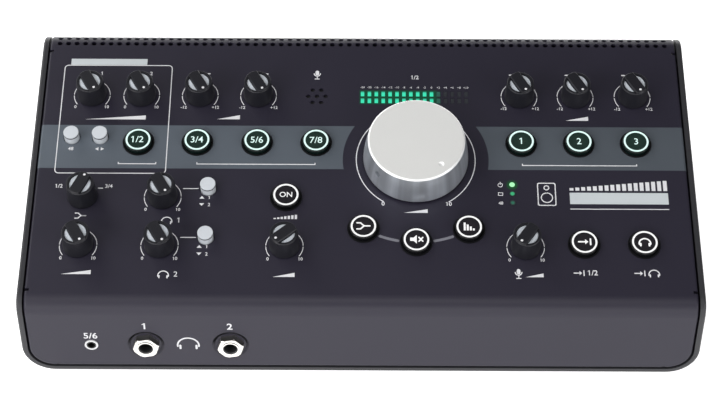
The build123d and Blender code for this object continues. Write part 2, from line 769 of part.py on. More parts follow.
def make_lights():
    """Meter light bar with a pip in each window, and three lamp lenses."""
    middle_u = meter_first_u + (meter_columns - 1) * meter_pitch / 2
    width = (meter_columns - 1) * meter_pitch + window_width + light_margin
    depth = meter_rows[1] - meter_rows[0] + window_height + light_margin
    middle = on_panel(middle_u, sum(meter_rows) / 2)
    bar = block(middle, width, depth, -cover_wall - light_wall, -cover_wall)
    pip = (window_width - 2 * window_gap, window_height - 2 * window_gap)
    bar += [block(place, *pip, -cover_wall - light_wall / 2, -window_gap) for place in meter_windows()]
    lenses = [bar]
    for v in lamp_rows:
        place = on_panel(lamp_u, v)
        lens = rod(place, lamp_r, -cover_wall - light_wall / 2, lamp_proud)
        lenses.append(lens + rod(place, lamp_flange_r, -cover_wall - light_wall, -cover_wall))
    keep("meter_and_lamp_lenses", lenses)


def make_microphone():
    """Talkback microphone capsule in its rubber boot under the panel."""
    low = -cover_wall - mic_height
    boot = rod(mic_place, mic_r + boot_wall, low - boot_wall, -cover_wall)
    capsule = rod(mic_place, mic_r, low, -cover_wall)
    keep("talkback_microphone", [boot - rod(mic_place, mic_r, low, 0), capsule])


def jack_barrel(place, seat, top):
    """Threaded bush of a quarter-inch socket, with what its bore and mouth take away."""
    wide = jack_bore_r + jack_mouth
    past = top + overrun
    mouth = [(0, top - jack_mouth), (jack_bore_r, top - jack_mouth), (wide, top), (wide, past), (0, past)]
    bore = rod(place, jack_bore_r, top - jack_bore_length, past) + spun(place, mouth)
    return rod(place, jack_bush_r, seat - overrun, top), bore


def jack_nut(place, seat):
    """Hexagonal nut with bevelled corners, on a seat."""
    corner_r = jack_nut_across / 2 / cos(radians(30))
    top = seat + jack_nut_height
    shoulder = top - nut_bevel
    bevel = [(0, seat), (corner_r, seat), (corner_r, shoulder), (corner_r - nut_bevel, top), (0, top)]
    nut = hexagon(place, jack_nut_across, seat, top) & spun(place, bevel)
    return nut - rod(place, jack_bush_r + screw_gap, seat - overrun, top + overrun)


def make_front_sockets():
    """Two headphone sockets and the small stereo socket behind the front face."""
    sockets = []
    nuts = []
    top = jack_nut_height - dish_depth + bush_proud
    for u in phones_us:
        place = on_front(u)
        barrel, bore = jack_barrel(place, -jack_seat, top)
        body = block(place, jack_width, jack_height, -jack_seat - jack_length, -jack_seat)
        sockets.append(body + barrel - bore)
        nuts.append(jack_nut(place * Rot(0, 0, nut_turn), -dish_depth))
    keep("headphone_sockets", sockets)
    place = on_front(mini_u)
    height = (jack_height + mini_height) / 2
    body = place * Pos(0, (mini_height - jack_height) / 4, -cover_wall - mini_length / 2)
    body = body * Box(mini_width, height, mini_length)
    body += rod(place, mini_bush_r, -cover_wall - overrun, mini_ring)
    body += rod(place, mini_ring_r, 0, mini_ring)
    keep("small_stereo_socket", body - rod(place, mini_bore_r, mini_ring - mini_bore_length, overrun))
    return nuts


def make_rear_sockets():
    """Stacked line sockets, the two combined inputs and the computer socket."""
    stacks = []
    nuts = []
    top = jack_nut_height + bush_proud
    for column in rear_jacks():
        height = rear_rows[1] + jack_height / 2 - main_board_top
        centre = column[0] * Pos(0, main_board_top + height / 2 - rear_rows[0], 0)
        stack = block(centre, jack_width, height, -rear_wall - jack_length, -rear_wall)
        for place in column:
            barrel, bore = jack_barrel(place, -rear_wall, top)
            stack = stack + barrel - bore
            nuts.append(jack_nut(place, 0))
        stacks.append(stack)
    keep("line_sockets", stacks)
    combos = []
    for x in combo_xs:
        place = on_rear(x, combo_z)
        body = block(place, combo_width, combo_height, -rear_wall - combo_length, -rear_wall)
        body += rod(place, combo_nose_r, -rear_wall - overrun, combo_proud)
        past = combo_proud + overrun
        body -= rod(place, jack_bore_r, combo_proud - jack_bore_length, past)
        for turn in combo_pin_turns:
            pin = place * Rot(0, 0, turn) * Pos(0, combo_pin_ring, 0)
            body -= rod(pin, combo_pin_r, -combo_pin_depth, past)
        combos.append(body)
    keep("combined_input_sockets", combos)
    shell = block(usb_place, usb_width, usb_height, -usb_length, usb_proud)
    shell -= block(usb_place, usb_mouth, usb_mouth, usb_wall - usb_length, overrun)
    shell += block(usb_place, usb_tongue_width, usb_tongue, -usb_length, -usb_wall)
    keep("computer_socket", shell)
    return nuts


def make_power_parts():
    """Low-voltage inlet, and the power switch's housing and rocker."""
    inlet = block(inlet_place, inlet_width, inlet_height, -inlet_length, usb_proud)
    inlet -= rod(inlet_place, inlet_bore_r, usb_wall - inlet_length, overrun)
    inlet += rod(inlet_place, inlet_pin_r, -inlet_length, -usb_wall)
    keep("power_inlet", inlet)
    rim = 2 * switch_flange
    housing = block(switch_place, switch_width + rim, switch_height + rim, 0, switch_rim)
    housing += block(switch_place, switch_width, switch_height, -switch_length, switch_rim / 2)
    wide = switch_width - 2 * switch_wall
    high = switch_height - 2 * switch_wall
    housing -= block(switch_place, wide, high, switch_wall - switch_length, switch_rim + overrun)
    pivot = switch_place * Pos(0, 0, -rocker_pivot)
    across = pivot * Rot(90, 0, 0)
    pin_half = high / 2 + switch_wall / 2
    housing -= rod(across, rocker_pin_r + running_gap, -pin_half - hole_gap, pin_half + hole_gap)
    keep("power_switch_housing", housing)
    reach = wide / 2 - rocker_side_gap
    points = [(-reach, rocker_keel), (-reach, rocker_tip), (0, rocker_waist), (reach, rocker_tip),
              (reach, rocker_keel), (rocker_pin_r, -2 * rocker_pin_r), (-rocker_pin_r, -2 * rocker_pin_r)]
    outline = make_face(Polyline([(x, 0, z) for x, z in points], close=True))
    rocker = extrude(outline, high / 2 - rocker_gap, both=True)
    rocker += rod(Rot(90, 0, 0), rocker_pin_r, -pin_half, pin_half)
    keep("power_rocker", pivot * Rot(0, rocker_tilt, 0) * rocker)


make_tray()
make_cover()
make_rear_panel()
make_boards()
make_fasteners()
make_potentiometers()
make_small_knobs()
make_volume_knob()
make_keys()
make_push_buttons()
make_lights()
make_microphone()
keep("socket_nuts", make_front_sockets() + make_rear_sockets())
make_power_parts()

# The origin is the middle of the whole controller's box, on the surface that it stands on
whole = Compound([solid for solids in nodes.values() for solid in solids]).bounding_box()
origin = Pos(-whole.center().X, -whole.center().Y, -whole.min.Z)
for name, solids in nodes.items():
    export_step(Compound([origin * solid for solid in solids]), f"parts/{name}.step")
print(len(nodes), "nodes, size", whole.size, "origin moved by", origin.position)
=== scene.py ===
import json
import math
import bmesh
import bpy
import numpy as np
from mathutils import Matrix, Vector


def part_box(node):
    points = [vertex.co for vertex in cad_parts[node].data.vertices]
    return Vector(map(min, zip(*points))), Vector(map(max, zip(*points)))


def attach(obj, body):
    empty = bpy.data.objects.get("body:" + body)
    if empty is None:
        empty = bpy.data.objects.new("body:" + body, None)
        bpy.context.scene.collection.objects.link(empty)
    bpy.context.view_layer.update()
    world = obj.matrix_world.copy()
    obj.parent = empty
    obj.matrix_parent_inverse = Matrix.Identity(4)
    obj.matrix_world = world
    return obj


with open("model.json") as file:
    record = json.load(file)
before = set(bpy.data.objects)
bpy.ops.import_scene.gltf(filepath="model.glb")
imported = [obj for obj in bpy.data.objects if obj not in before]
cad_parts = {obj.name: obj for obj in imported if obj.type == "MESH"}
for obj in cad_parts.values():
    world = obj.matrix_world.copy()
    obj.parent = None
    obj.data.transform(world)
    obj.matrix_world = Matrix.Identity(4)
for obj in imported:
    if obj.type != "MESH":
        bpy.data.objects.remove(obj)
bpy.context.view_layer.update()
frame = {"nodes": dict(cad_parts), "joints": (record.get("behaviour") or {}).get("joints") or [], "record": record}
cadNodes = frame["nodes"]
joints = {joint["name"]: joint for joint in frame["joints"]}
mounts = {mount["name"]: mount for mount in frame["record"]["mounts"]}
nodeSlots = {subpart["node"]: subpart["material_slot"] for subpart in frame["record"]["subparts"]}

# Drawings are in millimetres, each on a surface of its own: across, up and out of it
mm = 0.001
landmarks = {
    "volumeU": 28.05,        # the volume knob's middle, from the panel's centre line
    "volumeV": 87.9,         # and up the slope from the panel's front corner
    "socketLine": 28.3,      # from the front corner down to the headphone sockets
    "socketLift": 1.4,       # from the front face out to a headphone socket's mount
    "firstSocketU": -109.0,
}


def surfaceAt(point, out, across=(1.0, 0, 0), shift=(0, 0, 0)):
    # a surface whose zero lies a shift, in millimetres on the surface, from a point in the frame
    axes = np.array([across, np.cross(out, across), out])
    return {"zero": np.array(point) + mm * np.array(shift) @ axes, "axes": axes}


volumeU, volumeV = landmarks["volumeU"], landmarks["volumeV"]
volumeTurn, firstSocket = joints["volume_knob_turn"], mounts["headphone_socket_1"]
panel = surfaceAt(volumeTurn["pos_m"], volumeTurn["axis"], shift=(-volumeU, -volumeV, 0))
front = surfaceAt(firstSocket["pos_m"], firstSocket["axis"],
                  shift=(-landmarks["firstSocketU"], landmarks["socketLine"], -landmarks["socketLift"]))
rear = surfaceAt((0.0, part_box("rear_panel")[1].y, 0.0), (0, 1.0, 0), across=(-1.0, 0, 0))


def inFrame(surface, points):
    # millimetres on a surface to metres in the frame
    return surface["zero"] + mm * np.asarray(points, float) @ surface["axes"]


def onSurface(surface, points):
    # and back
    return (np.asarray(points, float) - surface["zero"]) @ surface["axes"].T / mm


def pointsOf(mesh):
    # a mesh's points as rows of x, y and z
    points = np.empty(3 * len(mesh.vertices), np.float32)
    mesh.vertices.foreach_get("co", points)
    return points.reshape(-1, 3).astype(float)


flatDepth = 0.02  # points this close under the highest belong to the top face


def topOf(node):
    # the middle of a node's highest flat face over the panel, as (u, v, height)
    points = onSurface(panel, pointsOf(cadNodes[node].data))
    height = points[:, 2].max()
    face = points[points[:, 2] > height - flatDepth]
    u, v, _ = (face.min(0) + face.max(0)) / 2
    return u, v, height


# Shapes. A part is (points, faces), with as many parts as wanted in one piece


def gridFaces(rows, columns, closedRows=False, closedColumns=False):
    # quads between neighbouring points of a grid, wrapped round where it closes on itself
    i = np.arange(rows if closedRows else rows - 1)[:, None]
    j = np.arange(columns if closedColumns else columns - 1)[None, :]
    down, along = (i + 1) % rows, (j + 1) % columns
    quads = np.stack([i * columns + j, i * columns + along, down * columns + along, down * columns + j], -1)
    return quads.reshape(-1, 4).tolist()


def turned(profile, steps, closedProfile=False):
    # a profile of (radius r, height h) carried round an axis: x = r sin t, y = r cos t, z = h
    t = np.linspace(0, 2 * math.pi, steps, endpoint=False)
    radius, height = np.asarray(profile, float).T[:, :, None]
    points = np.stack([radius * np.sin(t), radius * np.cos(t), height + 0 * t], -1).reshape(-1, 3)
    faces = gridFaces(len(profile), steps, closedProfile, True)
    if not closedProfile:
        faces += [list(range(steps)), list(range(len(points) - steps, len(points)))]
    return points, faces


def moved(part, u=0.0, v=0.0, height=0.0, turn=0.0):
    # a part turned clockwise by some degrees and then moved
    c, s = math.cos(math.radians(turn)), math.sin(math.radians(turn))
    return part[0] @ np.array([[c, -s, 0], [s, c, 0], [0, 0, 1]]) + [u, v, height], part[1]


def arc(radius, start, end, steps=48, centre=(0.0, 0.0)):
    # points round a circle between two angles in degrees, clockwise from straight up
    t = np.radians(np.linspace(start, end, steps))
    return np.stack([centre[0] + radius * np.sin(t), centre[1] + radius * np.cos(t)], -1)


def circle(radius, steps=48, centre=(0.0, 0.0)):
    # a whole turn, without the last point that would repeat the first
    return arc(radius, 0, 360 - 360 / steps, steps, centre)


def ring(radius, line, centre=(0.0, 0.0)):
    # a ring's outer and inner outline, half a line out and in from its radius
    return [circle(radius + line / 2, 64, centre), circle(radius - line / 2, 64, centre)]


def stroke(path, line):
    # a line's outline: its path moved half the line to each side along its normals, with a half circle
    # at each end
    path = np.asarray(path, float)
    run = np.gradient(path, axis=0)
    run /= np.linalg.norm(run, axis=1)[:, None]
    side = np.stack([-run[:, 1], run[:, 0]], -1) * line / 2
    t = np.linspace(0, math.pi, 8)[1:-1, None]
    tip = path[-1] + side[-1] * np.cos(t) + run[-1] * line / 2 * np.sin(t)
    tail = path[0] - side[0] * np.cos(t) - run[0] * line / 2 * np.sin(t)
    return np.concatenate([path + side, tip, (path - side)[::-1], tail])


def roundedBox(width, height, radius, centre=(0.0, 0.0), steps=6):
    # four quarter circles, one round each corner, clockwise
    x, y = width / 2 - radius, height / 2 - radius
    corners = [(0, x, y), (90, x, -y), (180, -x, -y), (270, -x, y)]
    return np.concatenate([arc(radius, turn, turn + 90, steps, (centre[0] + across, centre[1] + up))
                           for turn, across, up in corners])


inkThickness = 0.04  # of every printed mark, standing on its surface


def filledPart(curve):
    # a flat curve's filled and thickened mesh, standing on its surface
    curve.extrude = inkThickness / 2
    holder = bpy.data.objects.new(curve.name, curve)
    mesh = bpy.data.meshes.new_from_object(holder)
    points = pointsOf(mesh)
    faces = [list(polygon.vertices) for polygon in mesh.polygons]
    bpy.data.objects.remove(holder)
    bpy.data.meshes.remove(mesh)
    bpy.data.curves.remove(curve)
    return points + [0, 0, inkThickness / 2], faces


def inked(*outlines):
    # outlines filled, each inner one a hole
    curve = bpy.data.curves.new("outline", "CURVE")
    curve.dimensions, curve.fill_mode = "2D", "BOTH"
    for outline in outlines:
        spline = curve.splines.new("POLY")
        spline.points.add(len(outline) - 1)
        spline.points.foreach_set("co", np.pad(outline, ((0, 0), (0, 2))).ravel())
        spline.use_cyclic_u = True
    return filledPart(curve)


def dash(start, end, line):
    # a straight line with round ends
    return inked(stroke(np.linspace(start, end, 3), line))


digitShare = 0.7  # of the type size that a digit's height is
flagShares = {"start": (0.06, 0.44), "end": (-0.15, 0.29), "line": 0.12}  # of the digit's height


def figures(text, height, weight=0.015):
    # plain figures of a digit height, with their middle at zero
    curve = bpy.data.curves.new("figures", "FONT")
    curve.body, curve.size = text, height / digitShare
    curve.offset, curve.resolution_u = weight * curve.size, 3
    points, faces = filledPart(curve)
    middle = (points.min(0) + points.max(0)) / 2
    points = points - [middle[0], middle[1], 0]
    if text[0] != "1":
        return points, faces
    # a one that comes first gets a flag, placed from the figures' left end
    left = np.array([points[:, 0].min(), 0.0])
    start, end = [left + height * np.array(flagShares[tip]) for tip in ("start", "end")]
    flag = dash(start, end, flagShares["line"] * height)
    faces += [[len(points) + corner for corner in face] for face in flag[1]]
    return np.concatenate([points, flag[0]]), faces


weldGap = 0.0005  # points closer than this become one


def makePiece(name, parts, finish, body, surface, uv=None):
    # parts joined in one mesh, with doubles merged, on a body of the frame
    faces, start = [], 0
    for part in parts:
        faces += [[start + corner for corner in face] for face in part[1]]
        start += len(part[0])
    mesh = bpy.data.meshes.new(name)
    mesh.from_pydata(inFrame(surface, np.concatenate([part[0] for part in parts])), [], faces)
    if uv is not None:
        corners = np.empty(len(mesh.loops), np.int32)
        mesh.loops.foreach_get("vertex_index", corners)
        mesh.uv_layers.new(name="face").data.foreach_set("uv", uv[corners].ravel())
    shell = bmesh.new()
    shell.from_mesh(mesh)
    bmesh.ops.remove_doubles(shell, verts=shell.verts, dist=mm * weldGap)
    bmesh.ops.recalc_face_normals(shell, faces=shell.faces)
    shell.to_mesh(mesh)
    shell.free()
    mesh.materials.append(finishes[finish])
    piece = bpy.data.objects.new(name, mesh)
    bpy.context.scene.collection.objects.link(piece)
    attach(piece, body)
    return piece


# Finishes. Shader trees are put together with a few short helpers


def node(tree, kind, **settings):
    made = tree.nodes.new(kind)
    for name, value in settings.items():
        setattr(made, name, value)
    return made


def treeOf(*values):
    # the node tree of the first socket among some values
    return next(value.id_data for value in values if isinstance(value, bpy.types.NodeSocket))


def feed(socket, value):
    # a socket takes a link, a number, a vector or a colour
    if isinstance(value, bpy.types.NodeSocket):
        socket.id_data.links.new(value, socket)
    elif socket.type == "RGBA":
        socket.default_value = (*value, 1.0)
    else:
        socket.default_value = value


def give(made, **values):
    # a node's inputs by name, with _ for a space
    for name, value in values.items():
        feed(made.inputs[name.replace("_", " ")], value)


def worked(operation, *values):
    # one step of arithmetic
    made = node(treeOf(*values), "ShaderNodeMath", operation=operation)
    for socket, value in zip(made.inputs, values):
        feed(socket, value)
    return made.outputs[0]


def allOf(first, *masks):
    # the product of masks
    for mask in masks:
        first = worked("MULTIPLY", first, mask)
    return first


def eased(value, low, high, start=0.0, end=1.0):
    # a smooth change from start to end while the value goes from low to high
    made = node(value.id_data, "ShaderNodeMapRange", interpolation_type="SMOOTHSTEP")
    for socket, given in zip(made.inputs, (value, low, high, start, end)):
        feed(socket, given)
    return made.outputs[0]


def mixed(share, first, second, kind="RGBA"):
    # the first at a share of 0 and the second at 1
    made = node(treeOf(share, first, second), "ShaderNodeMix", data_type=kind)
    start = 6 if kind == "RGBA" else 2
    for socket, value in zip([made.inputs[i] for i in (0, start, start + 1)], (share, first, second)):
        feed(socket, value)
    return made.outputs[2 if kind == "RGBA" else 0]


def vectorWorked(operation, vector, other=None, output="Vector", scale=None):
    made = node(treeOf(vector, other, scale), "ShaderNodeVectorMath", operation=operation)
    feed(made.inputs[0], vector)
    if other is not None:
        feed(made.inputs[1], other)
    if scale is not None:
        give(made, Scale=scale)
    return made.outputs[output]


def noise(vector, scale, detail=2.0):
    made = node(vector.id_data, "ShaderNodeTexNoise")
    give(made, Vector=vector, Scale=scale, Detail=detail)
    return made.outputs[0]


socketKinds = {"colour": "NodeSocketColor", "vector": "NodeSocketVector", "number": "NodeSocketFloat"}


def newGroup(name, inputs, outputs):
    group = bpy.data.node_groups.new(name, "ShaderNodeTree")
    for direction, sockets in (("INPUT", inputs), ("OUTPUT", outputs)):
        for label, kind in sockets.items():
            group.interface.new_socket(label, in_out=direction, socket_type=socketKinds[kind])
    return group, node(group, "NodeGroupInput").outputs, node(group, "NodeGroupOutput").inputs


grainLook = {"driftScale": 28.0, "detail": 3.0, "gloss": 0.6, "dustGloss": 0.3}
dust = {"colour": (0.3, 0.29, 0.28), "cells": 190.0, "size": 0.035, "patches": 61.0, "patchLevel": 0.6}


def buildGrain():
    # fine bumps, a slow drift of shade and gloss, and sparse specks of dust
    group, given, result = newGroup(
        "surfaceGrain",
        {"Vector": "vector", "Colour": "colour", "Roughness": "number", "Scale": "number",
         "Depth": "number", "Drift": "number", "Dust": "number"},
        {"Colour": "colour", "Roughness": "number", "Height": "number"})
    fine = noise(given["Vector"], given["Scale"], grainLook["detail"])
    slow = noise(given["Vector"], grainLook["driftScale"], grainLook["detail"])
    swing = worked("MULTIPLY", worked("SUBTRACT", slow, 0.5), given["Drift"])
    grains = worked("MULTIPLY", worked("SUBTRACT", fine, 0.5), given["Drift"])
    shade = worked("ADD", worked("ADD", swing, grains), 1.0)
    tinted = vectorWorked("SCALE", given["Colour"], scale=shade)
    cells = node(group, "ShaderNodeTexVoronoi")
    give(cells, Vector=given["Vector"], Scale=dust["cells"])
    speck = worked("LESS_THAN", cells.outputs["Distance"], dust["size"])
    patch = worked("GREATER_THAN", noise(given["Vector"], dust["patches"]), dust["patchLevel"])
    dusty = allOf(speck, patch, given["Dust"])
    rough = worked("ADD", given["Roughness"], worked("MULTIPLY", swing, grainLook["gloss"]))
    feed(result["Colour"], mixed(dusty, tinted, dust["colour"]))
    dull = worked("MULTIPLY", dusty, grainLook["dustGloss"])
    feed(result["Roughness"], worked("ADD", rough, dull))
    feed(result["Height"], worked("MULTIPLY", fine, given["Depth"]))
    return group


hairLines = {
    "lines": ((0.6, (160.0, 2600.0, 700.0)), (2.1, (210.0, 3100.0, 900.0))),  # turn and stretch of each
    "tilt": (0.2, 0.1), "thin": (0.62, 0.7), "depth": 0.004, "gloss": 0.15,
}


def buildScratches():
    # hair scratches: noise stretched into thin lines, in two directions
    group, given, result = newGroup(
        "hairScratches", {"Vector": "vector", "Amount": "number"}, {"Mask": "number", "Height": "number"})
    lines = []
    for turn, stretch in hairLines["lines"]:
        mapping = node(group, "ShaderNodeMapping")
        give(mapping, Vector=given["Vector"], Rotation=(*hairLines["tilt"], turn), Scale=stretch)
        lines.append(eased(noise(mapping.outputs[0], 1.0, 1.0), *hairLines["thin"]))
    both = worked("MULTIPLY", worked("MAXIMUM", *lines), given["Amount"])
    feed(result["Mask"], both)
    feed(result["Height"], worked("MULTIPLY", both, -hairLines["depth"] * mm))
    return group


def buildPlace(name, surface):
    # a point's place on a surface, in millimetres, and how far the faces there look out of it
    group, given, result = newGroup(
        name, {"Vector": "vector", "Normal": "vector"},
        {"u": "number", "v": "number", "height": "number", "facing": "number"})
    for label, axis in zip(("u", "v", "height"), surface["axes"]):
        along = vectorWorked("DOT_PRODUCT", given["Vector"], tuple(axis / mm), "Value")
        feed(result[label], worked("SUBTRACT", along, float(surface["zero"] @ axis) / mm))
    out = tuple(surface["axes"][2])
    feed(result["facing"], vectorWorked("DOT_PRODUCT", given["Normal"], out, "Value"))
    return group


grainGroup, scratchGroup = buildGrain(), buildScratches()
panelPlace, frontPlace, rearPlace = [
    buildPlace(name, surface)
    for name, surface in (("panelPlace", panel), ("frontPlace", front), ("rearPlace", rear))]


def placed(group, **values):
    # a node group with its inputs fed
    made = node(treeOf(*values.values()), "ShaderNodeGroup", node_tree=group)
    give(made, **values)
    return made.outputs


def newFinish(name):
    material = bpy.data.materials.new(name)
    material.use_nodes = True
    tree = material.node_tree
    return material, tree.nodes["Principled BSDF"], node(tree, "ShaderNodeTexCoord").outputs["Object"]


def plainFinish(name, recipe):
    # paint, plastic, rubber or metal with grain, drift, dust and, where asked, hair scratches
    material, shader, point = newFinish(name)
    grain = placed(grainGroup, Vector=point, Colour=recipe["colour"], Roughness=recipe["roughness"],
                   Scale=recipe["scale"], Depth=recipe["depth"] * mm, Drift=recipe.get("drift", 0.08),
                   Dust=recipe.get("dust", 0.0))
    roughness, height = grain["Roughness"], grain["Height"]
    if "scratches" in recipe:
        scratches = placed(scratchGroup, Vector=point, Amount=recipe["scratches"])
        gloss = worked("MULTIPLY", scratches["Mask"], hairLines["gloss"])
        roughness = worked("ADD", roughness, gloss)
        height = worked("ADD", height, scratches["Height"])
    bump = node(shader.id_data, "ShaderNodeBump")
    give(bump, Distance=1.0, Height=height)
    give(shader, Base_Color=grain["Colour"], Roughness=roughness, Normal=bump.outputs[0],
         Metallic=recipe.get("metal", 0.0), Specular_IOR_Level=recipe.get("specular", 0.5),
         Coat_Weight=recipe.get("coat", 0.0), Coat_Roughness=0.1)
    return material, shader, point


def fedTo(socket):
    # what feeds a socket, or its own number
    return socket.links[0].from_socket if socket.is_linked else socket.default_value


def overlaid(shader, share, value, name="Base Color"):
    # another value, by a share, over what a shader's input has already
    socket = shader.inputs[name]
    feed(socket, mixed(share, fedTo(socket), value, "RGBA" if socket.type == "RGBA" else "FLOAT"))


def look(colour, roughness, scale, depth, **more):
    return {"colour": colour, "roughness": roughness, "scale": scale, "depth": depth, **more}


# Colour, roughness, grain scale and depth. Colours are linear, scales per metre, depths in millimetres
recipes = {
    "coverPaint": look((0.017, 0.0148, 0.0275), 0.46, 2300, 0.02, dust=0.12, specular=0.42),
    "trayPaint": look((0.03, 0.03, 0.034), 0.42, 2300, 0.02, dust=0.15, specular=0.4),
    "rearPaint": look((0.026, 0.026, 0.03), 0.45, 2300, 0.02, dust=0.15, specular=0.4),
    "footRubber": look((0.018, 0.018, 0.019), 0.8, 1500, 0.04, dust=0.5),
    "blackZinc": look((0.09, 0.09, 0.1), 0.33, 1800, 0.006, metal=1.0, scratches=0.6),
    "boardGreen": look((0.012, 0.07, 0.035), 0.3, 900, 0.01, coat=0.3),
    "brightZinc": look((0.62, 0.63, 0.65), 0.3, 1500, 0.01, metal=1.0, scratches=0.8),
    "moulded": look((0.022, 0.022, 0.024), 0.45, 1700, 0.015),
    "socketMoulding": look((0.022, 0.022, 0.024), 0.45, 1700, 0.015),
    "stamped": look((0.5, 0.5, 0.51), 0.32, 900, 0.01, metal=1.0, scratches=0.7),
    "knobPlastic": look((0.009, 0.009, 0.013), 0.44, 2600, 0.012, drift=0.1, dust=0.1, specular=0.4),
    "volumeMetal": look((0.89, 0.89, 0.87), 0.48, 2400, 0.012, metal=0.4, drift=0.04),
    "hubPlastic": look((0.03, 0.03, 0.03), 0.5, 1500, 0.02),
    "bezelBlack": look((0.005, 0.005, 0.006), 0.3, 1500, 0.003, specular=0.3),
    "keySmoke": look((0.005, 0.005, 0.006), 0.26, 1200, 0.003, specular=0.35),
    "keySmokeGreen": look((0.003, 0.009, 0.008), 0.26, 1200, 0.003, specular=0.35),
    "capWhite": look((0.6, 0.63, 0.67), 0.42, 2200, 0.01, drift=0.05),
    "lensGlow": look((0.03, 0.033, 0.04), 0.35, 1500, 0.005, drift=0.1),
    "bootRubber": look((0.015, 0.015, 0.015), 0.75, 1500, 0.03),
    "nickel": look((0.83, 0.81, 0.77), 0.16, 1100, 0.005, metal=1.0, scratches=0.7),
    "ringWhite": look((0.72, 0.72, 0.73), 0.32, 1800, 0.006, drift=0.04),
    "rockerBlack": look((0.014, 0.014, 0.015), 0.35, 1700, 0.01),
    "inlaySilver": look((0.6, 0.64, 0.69), 0.42, 2400, 0.008, drift=0.07),
    "inkWhite": look((0.74, 0.74, 0.76), 0.5, 2600, 0.005, drift=0.1),
    "inkGrey": look((0.19, 0.19, 0.22), 0.5, 2600, 0.005, drift=0.1),
    "inkPlate": look((0.58, 0.62, 0.64), 0.48, 2600, 0.005, drift=0.08),
}

# What is done over some of the recipes, from a point's place on a surface. First the cover's paint, with
# the grey stripe printed on it, shaded darker to the right as painted light, and the glow of what is lit
stripe = {
    "low": 81.64, "high": 108.64, "clearRadius": 38.0, "soft": 0.12, "reach": 170.0,
    # the stripe's colour at its left and right ends; its darkening to the right is painted light
    "left": (0.098, 0.116, 0.14), "right": (0.072, 0.084, 0.1),
}
meter = {
    "firstU": 0.17, "pitch": 3.67, "columns": 16, "litColumns": 11, "rows": (125.1, 129.5),
    "window": (2.0, 3.2), "lit": (0.025, 0.78, 0.45), "glow": (0.0, 0.058, 0.024),
    "glowReach": 1.1, "smoke": (0.001, 0.002, 0.002),
    "wall": 1.4,  # nothing glows further in than this
    "pip": (0.72, 0.42), "dim": 0.4,  # where a window's light falls off, by its share up the row, and to what
    "nextOne": 0.1,  # how much of the light the first dark column has
}
lamps = {
    "u": 77.7, "rows": (72.4, 66.9, 61.4), "radius": 1.5, "cores": (1.35, 0.6, 0.3),
    "colours": ((0.42, 1.0, 0.5), (0.02, 0.42, 0.16), (0.0, 0.12, 0.06)),
    "halo": (1.4, 3.6), "haloColour": (0.0, 0.09, 0.014),
}
dish = {  # the headphone sockets' places and radii, and where their upper wall is shaded, up and in
    "us": (-109.0, -66.1), "v": -28.3, "floor": 7.75, "edge": 9.3, "lip": 9.6, "soft": 0.3,
    "dark": (0.004, 0.004, 0.005), "shadeUp": (-2.0, 5.0), "shadeIn": (-4.0, -3.0),
}


def flatPlace(place):
    # a place without its height, as a vector (u, v, 0)
    joined = node(place["u"].id_data, "ShaderNodeCombineXYZ")
    give(joined, X=place["u"], Y=place["v"])
    return joined.outputs[0]


def distanceFrom(place, centre):
    return vectorWorked("DISTANCE", flatPlace(place), (*centre, 0.0), "Value")


def paintCover(shader, point):
    place = placed(panelPlace, Vector=point)
    u, v, soft = place["u"], place["v"], stripe["soft"]
    fromVolume = distanceFrom(place, (volumeU, volumeV))
    printed = allOf(
        eased(v, stripe["low"] - soft, stripe["low"] + soft),
        eased(v, stripe["high"] + soft, stripe["high"] - soft),
        eased(fromVolume, stripe["clearRadius"] - soft, stripe["clearRadius"] + soft))
    # painted light: the printed stripe runs from lighter on the left to darker on the right
    tint = mixed(eased(u, -stripe["reach"], stripe["reach"]), stripe["left"], stripe["right"])
    overlaid(shader, printed, tint)
    reach, (wide, high) = meter["glowReach"], meter["window"]
    left = meter["firstU"] - wide / 2
    last = meter["firstU"] + (meter["litColumns"] - 1) * meter["pitch"] + wide / 2
    bottom, top = meter["rows"][0] - high / 2, meter["rows"][1] + high / 2
    glow = allOf(eased(u, left - reach, left), eased(u, last + 3 * reach, last),
                 eased(v, bottom - reach, bottom), eased(v, top + reach, top))
    fromLamp = distanceFrom(place, (lamps["u"], lamps["rows"][0]))
    halo = eased(fromLamp, lamps["halo"][1], lamps["halo"][0])
    lit = mixed(glow, (0.0, 0.0, 0.0), meter["glow"])
    give(shader, Emission_Color=mixed(halo, lit, lamps["haloColour"]), Emission_Strength=1.0)
    overlaid(shader, worked("MAXIMUM", glow, halo), meter["smoke"])
    # the upper wall of each headphone socket's dish lies in its own shade
    place = placed(frontPlace, Vector=point)
    walls = []
    for socketU in dish["us"]:
        away = distanceFrom(place, (socketU, dish["v"]))
        walls.append(allOf(eased(away, dish["floor"] - dish["soft"], dish["floor"] + dish["soft"]),
                           eased(away, dish["lip"], dish["edge"])))
    upper = eased(place["v"], *[dish["v"] + up for up in dish["shadeUp"]])
    shade = allOf(worked("MAXIMUM", *walls), upper, eased(place["height"], *dish["shadeIn"]))
    overlaid(shader, shade, dish["dark"])
    give(shader, Metallic=shade)


